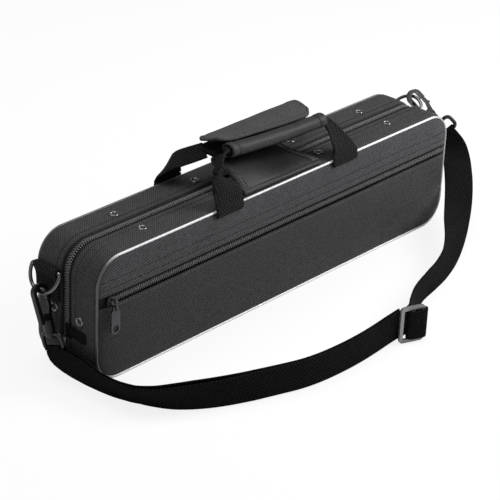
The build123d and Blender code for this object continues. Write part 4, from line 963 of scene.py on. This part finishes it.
# ---- shoulder strap: stations of point, width direction and width
STRAP_ROUTE = [
    (245.1, -9.2, 65, 0.504, -0.503, 0.702, 16), (247.6, -12.4, 60.9, 0.504, -0.503, 0.702, 17),
    (247.2, -18, 53.8, 0.6, -0.6, 0.45, 21), (239.4, -27, 44.8, 0.72, -0.69, 0, 25),
    (224.2, -41.6, 37, 0.67, -0.74, 0.05, 25), (205, -57, 29, 0.66, -0.73, -0.15, 25),
    (179.1, -75, 22, 0.58, -0.66, -0.48, 25), (152.8, -92.7, 16.5, 0.36, -0.44, -0.82, 25),
    (129, -105.2, 13.8, 0.16, -0.22, -0.96, 25), (105.7, -112.9, 12.9, 0.05, -0.08, -1, 25),
    (81.3, -118.5, 12.7, 0, 0, -1, 25), (57.2, -127.5, 12.7, 0, -0.08, -1, 25),
    (38.5, -139.2, 13.4, 0, -0.12, -0.99, 25), (27, -146.6, 15.2, 0, -0.06, -1, 25),
    (15, -147.2, 15.6, 0, 0, -1, 25), (2, -146.6, 14.2, 0, 0, -1, 25),
    (-12, -146.9, 12.9, 0, 0, -1, 25), (-31, -148, 12.7, 0, 0, -1, 25),
    (-51.3, -148.2, 12.7, 0, 0, -1, 25), (-75.7, -146.8, 12.7, 0, 0, -1, 25),
    (-96.4, -143.2, 12.7, 0, 0, -1, 25), (-115.1, -136.6, 12.7, 0, 0, -1, 25),
    (-134.8, -129.8, 12.7, 0, 0, -1, 25), (-151.5, -123.4, 12.7, 0, 0.05, -1, 25),
    (-167.6, -116, 12.7, 0.04, 0.1, -0.99, 25), (-181, -108, 12.7, 0.1, 0.16, -0.98, 25),
    (-192.6, -99.8, 12.6, 0.2, 0.24, -0.95, 25), (-202.6, -89.5, 12.2, 0.36, 0.3, -0.88, 25),
    (-209.6, -77.5, 11.8, 0.48, 0.28, -0.83, 25), (-214, -64, 11.7, 0.5, 0.12, -0.86, 25),
    (-216.8, -48, 12, 0.42, 0.04, -0.91, 25), (-218.6, -32, 14.4, 0.26, 0.06, -0.97, 25),
    (-220.6, -18, 16.8, 0.12, 0.14, -0.98, 23), (-221.8, -8.6, 18, 0.04, 0.34, -0.94, 20.5),
    (-222.6, -3.4, 18.8, 0, 0.66, -0.75, 18), (-222.8, -0.8, 20.5, 0, 0.89, -0.45, 17),
    (-222.8, 0.3, 23.2, 0, 0.927, -0.375, 16),
]
RETURN_ROUTE = [
    (-217.6, 0.3, 23.2, 0, -0.927, 0.375, 16), (-217.6, -0.8, 20.5, 0, -0.89, 0.45, 17),
    (-217.6, -3.4, 18.8, 0, -0.66, 0.75, 18), (-217.6, -8.8, 18, -0.04, -0.34, 0.94, 20.5),
    (-217.4, -18.2, 16.8, -0.12, -0.14, 0.98, 23), (-215.8, -32.4, 14.4, -0.26, -0.06, 0.97, 25),
    (-214, -47.6, 12, -0.42, -0.04, 0.91, 25), (-211.2, -63, 11.7, -0.5, -0.12, 0.86, 25),
    (-206.2, -75.2, 11.8, -0.48, -0.28, 0.83, 25), (-198.6, -86, 12.2, -0.36, -0.3, 0.88, 25),
    (-188.6, -95.4, 12.6, -0.2, -0.24, 0.95, 25), (-177.8, -103.2, 12.7, -0.1, -0.16, 0.98, 25),
    (-165.2, -111.2, 12.7, -0.04, -0.1, 0.99, 25), (-149.8, -119.4, 12.7, 0, -0.05, 1, 25),
    (-133.6, -126.6, 12.7, 0, 0, 1, 25), (-114.4, -133.9, 12.7, 0, 0, 1, 25),
    (-95.8, -140.6, 12.7, 0, 0, 1, 25), (-75.4, -144.2, 12.7, 0, 0, 1, 25),
    (-51.3, -145.7, 12.7, 0, 0, 1, 25), (-31.2, -145.5, 12.7, 0, 0, 1, 25),
    (-12.2, -144.4, 12.9, 0, 0, 1, 25), (2, -144, 14.2, 0, 0, 1, 25),
    (16.5, -144.4, 15.6, 0, 0, 1, 25),
]


def route_spline(name, points):
    """The smooth line of a cord's route, as points of its NURBS spline, in millimetres."""
    curve = bpy.data.curves.new(name, "CURVE")
    curve.dimensions = "3D"
    curve.resolution_u = 12
    spline = curve.splines.new("NURBS")
    spline.points.add(len(points) - 1)
    for point, place in zip(spline.points, points):
        point.co = (*(place * MM), 1)
    spline.order_u = 3
    spline.use_endpoint_u = True
    holder = place_object(name, curve)
    bpy.context.view_layer.update()
    depsgraph = bpy.context.evaluated_depsgraph_get()
    mesh = bpy.data.meshes.new_from_object(holder.evaluated_get(depsgraph), depsgraph=depsgraph)
    line = np.array([list(v.co) for v in mesh.vertices]) / MM
    bpy.data.objects.remove(holder)
    bpy.data.meshes.remove(mesh)
    return line


def strap_piece(name, route, replaced, with_pieces, seed, sewn=()):
    """A layer of the shoulder strap on its route's spline, with the rows sewn across it."""
    route = np.array(route)
    line = route_spline(f"{name}_route", route[:, :3])
    line = line[np.concatenate([[True], np.linalg.norm(np.diff(line, axis=0), axis=1) > 1e-6])]
    reach, corners = reach_along(line), reach_along(route[:, :3])
    share, station = reach / reach[-1], corners / corners[-1]
    even_line, _ = resample(line, 2.0)
    even = np.linspace(0, 1, len(even_line))
    wides = interp_rows(even, share, interp_rows(share, station, route[:, 3:6]))
    widths = np.interp(even, share, np.interp(share, station, route[:, 6]))
    cup = 0.5 * np.sin(even * 37 + seed) * ease(even * 12) * ease((1 - even) * 12)
    obj = ribbon(name, even_line, wides, widths, STRAP_THICKNESS, cup, across=12)
    dress(obj, STRAP, "root", replaced)
    for number, at in enumerate(sewn):
        k = int(round(at / (reach[-1] / (len(even_line) - 1))))
        facing = unit(np.cross(wides[k], even_line[k + 1] - even_line[k - 1]))
        facing = facing if facing[1] - facing[0] < 0 or facing[2] > 0 else -facing
        middle = even_line[k] + facing * (STRAP_THICKNESS / 2 + 0.15)
        across = unit(wides[k]) * (0.42 * widths[k])
        with_pieces.append(sew(f"{name}_seam_{number + 1}", [middle - across, middle + across], [facing, facing],
                               "root", WEBBING, pitch=2.4, length=1.7))


def end_loop():
    """The strap's sewn end, round the middle and right bars of the tri-glide."""
    centre, heading = np.array([21.0, -154.0, 16.0]), math.radians(-22)
    along = np.array([math.cos(heading), math.sin(heading), 0])
    out = np.array([math.sin(heading), -math.cos(heading), 0])
    path = [(-3.9, -0.6), (-3.2, 2.3), (1.0, 3.2), (7.0, 3.3), (11.0, 2.7), (12.9, 0.4), (12.4, -1.8), (9.0, -2.9),
            (2.0, -3.0), (-2.6, -2.6), (-3.9, -0.2)]
    line = smooth_line([centre + a * along + o * out for a, o in path], 60)
    loop = ribbon("strap_end_loop_webbing", line, [0, 0, 1.0], 25.6, 1.3)
    return dress(loop, STRAP, "slide", ["strap_end_loop"])


strap_piece("strap_webbing", STRAP_ROUTE, ["shoulder_strap"],
            [nodes["right_strap_fold"], nodes["tri_glide"]], 0.3, sewn=(34.0, 37.5))
strap_piece("strap_return_webbing", RETURN_ROUTE, ["strap_return"],
            [nodes["left_strap_fold"], end_loop()], 1.7)


# ---- floor, lights and camera
def emission_floor():
    """A pale floor: near white to the camera, with the case's shadow kept."""
    material = bpy.data.materials.new("floor")
    material.use_nodes = True
    tree = material.node_tree
    tree.nodes.clear()
    out = tree.nodes.new("ShaderNodeOutputMaterial")
    diffuse = node(tree, "ShaderNodeBsdfDiffuse", in_Color=(0.82, 0.82, 0.82, 1))
    glow = node(tree, "ShaderNodeEmission", in_Color=(1, 1, 1, 1), in_Strength=1.0)
    mix = tree.nodes.new("ShaderNodeMixShader")
    path = tree.nodes.new("ShaderNodeLightPath")
    share = times(tree, path.outputs["Is Camera Ray"], 0.84)
    tree.links.new(share, mix.inputs[0])
    tree.links.new(diffuse.outputs[0], mix.inputs[1])
    tree.links.new(glow.outputs[0], mix.inputs[2])
    tree.links.new(mix.outputs[0], out.inputs[0])
    return material


FLOOR_REACH, FLOOR_Z = 8, -0.0005
floor_mesh = bpy.data.meshes.new("floor")
floor_mesh.from_pydata([(x * FLOOR_REACH, y * FLOOR_REACH, FLOOR_Z) for x, y in ((-1, -1), (1, -1), (1, 1), (-1, 1))],
                       [], [(0, 1, 2, 3)])
floor = place_object("floor", floor_mesh)
floor_mesh.materials.append(emission_floor())

world = bpy.data.worlds.new("studio")
bpy.context.scene.world = world
world.use_nodes = True
tree = world.node_tree
background = tree.nodes["Background"]
rays = tree.nodes.new("ShaderNodeLightPath")
tree.links.new(add(tree, times(tree, rays.outputs["Is Camera Ray"], 0.71), 0.29), background.inputs["Strength"])
background.inputs["Color"].default_value = (1, 1, 1, 1)

for name, place, target, size, watts in (("key", (0.62, -0.50, 0.66), (0.17, 0, 0.07), 0.5, 9.5),
                                         ("top", (-0.2, 0.3, 1.6), (0, 0, 0.05), 1.2, 16),
                                         ("left_fill", (-1.6, -0.3, 0.8), (0, 0, 0.05), 0.8, 1.8)):
    light = bpy.data.lights.new(name, "AREA")
    light.size = size
    light.energy = watts
    lamp = place_object(name, light)
    lamp.location = place
    lamp.rotation_euler = (Vector(place) - Vector(target)).to_track_quat("Z", "Y").to_euler()

CAMERA_PLACE = (-1.1009, -0.9838, 0.8026)
CAMERA_AZIMUTH = math.radians(-48.109)
CAMERA_ELEVATION = math.radians(27.62)
CAMERA_ROLL = math.radians(2.535)
back = Vector((math.sin(CAMERA_AZIMUTH) * math.cos(CAMERA_ELEVATION),
               -math.cos(CAMERA_AZIMUTH) * math.cos(CAMERA_ELEVATION), math.sin(CAMERA_ELEVATION)))
level = Vector((0, 0, 1)).cross(back).normalized()
upright = back.cross(level)
right = math.cos(CAMERA_ROLL) * level + math.sin(CAMERA_ROLL) * upright
up = -math.sin(CAMERA_ROLL) * level + math.cos(CAMERA_ROLL) * upright
camera_data = bpy.data.cameras.new("camera")
camera_data.sensor_width = 36
camera_data.lens = 144.22
camera_data.clip_start = 0.05
camera = place_object("camera", camera_data)
camera.matrix_world = Matrix.Translation(CAMERA_PLACE) @ Matrix((right, up, back)).transposed().to_4x4()
bpy.context.scene.camera = camera
bpy.context.scene.view_settings.view_transform = "Standard"
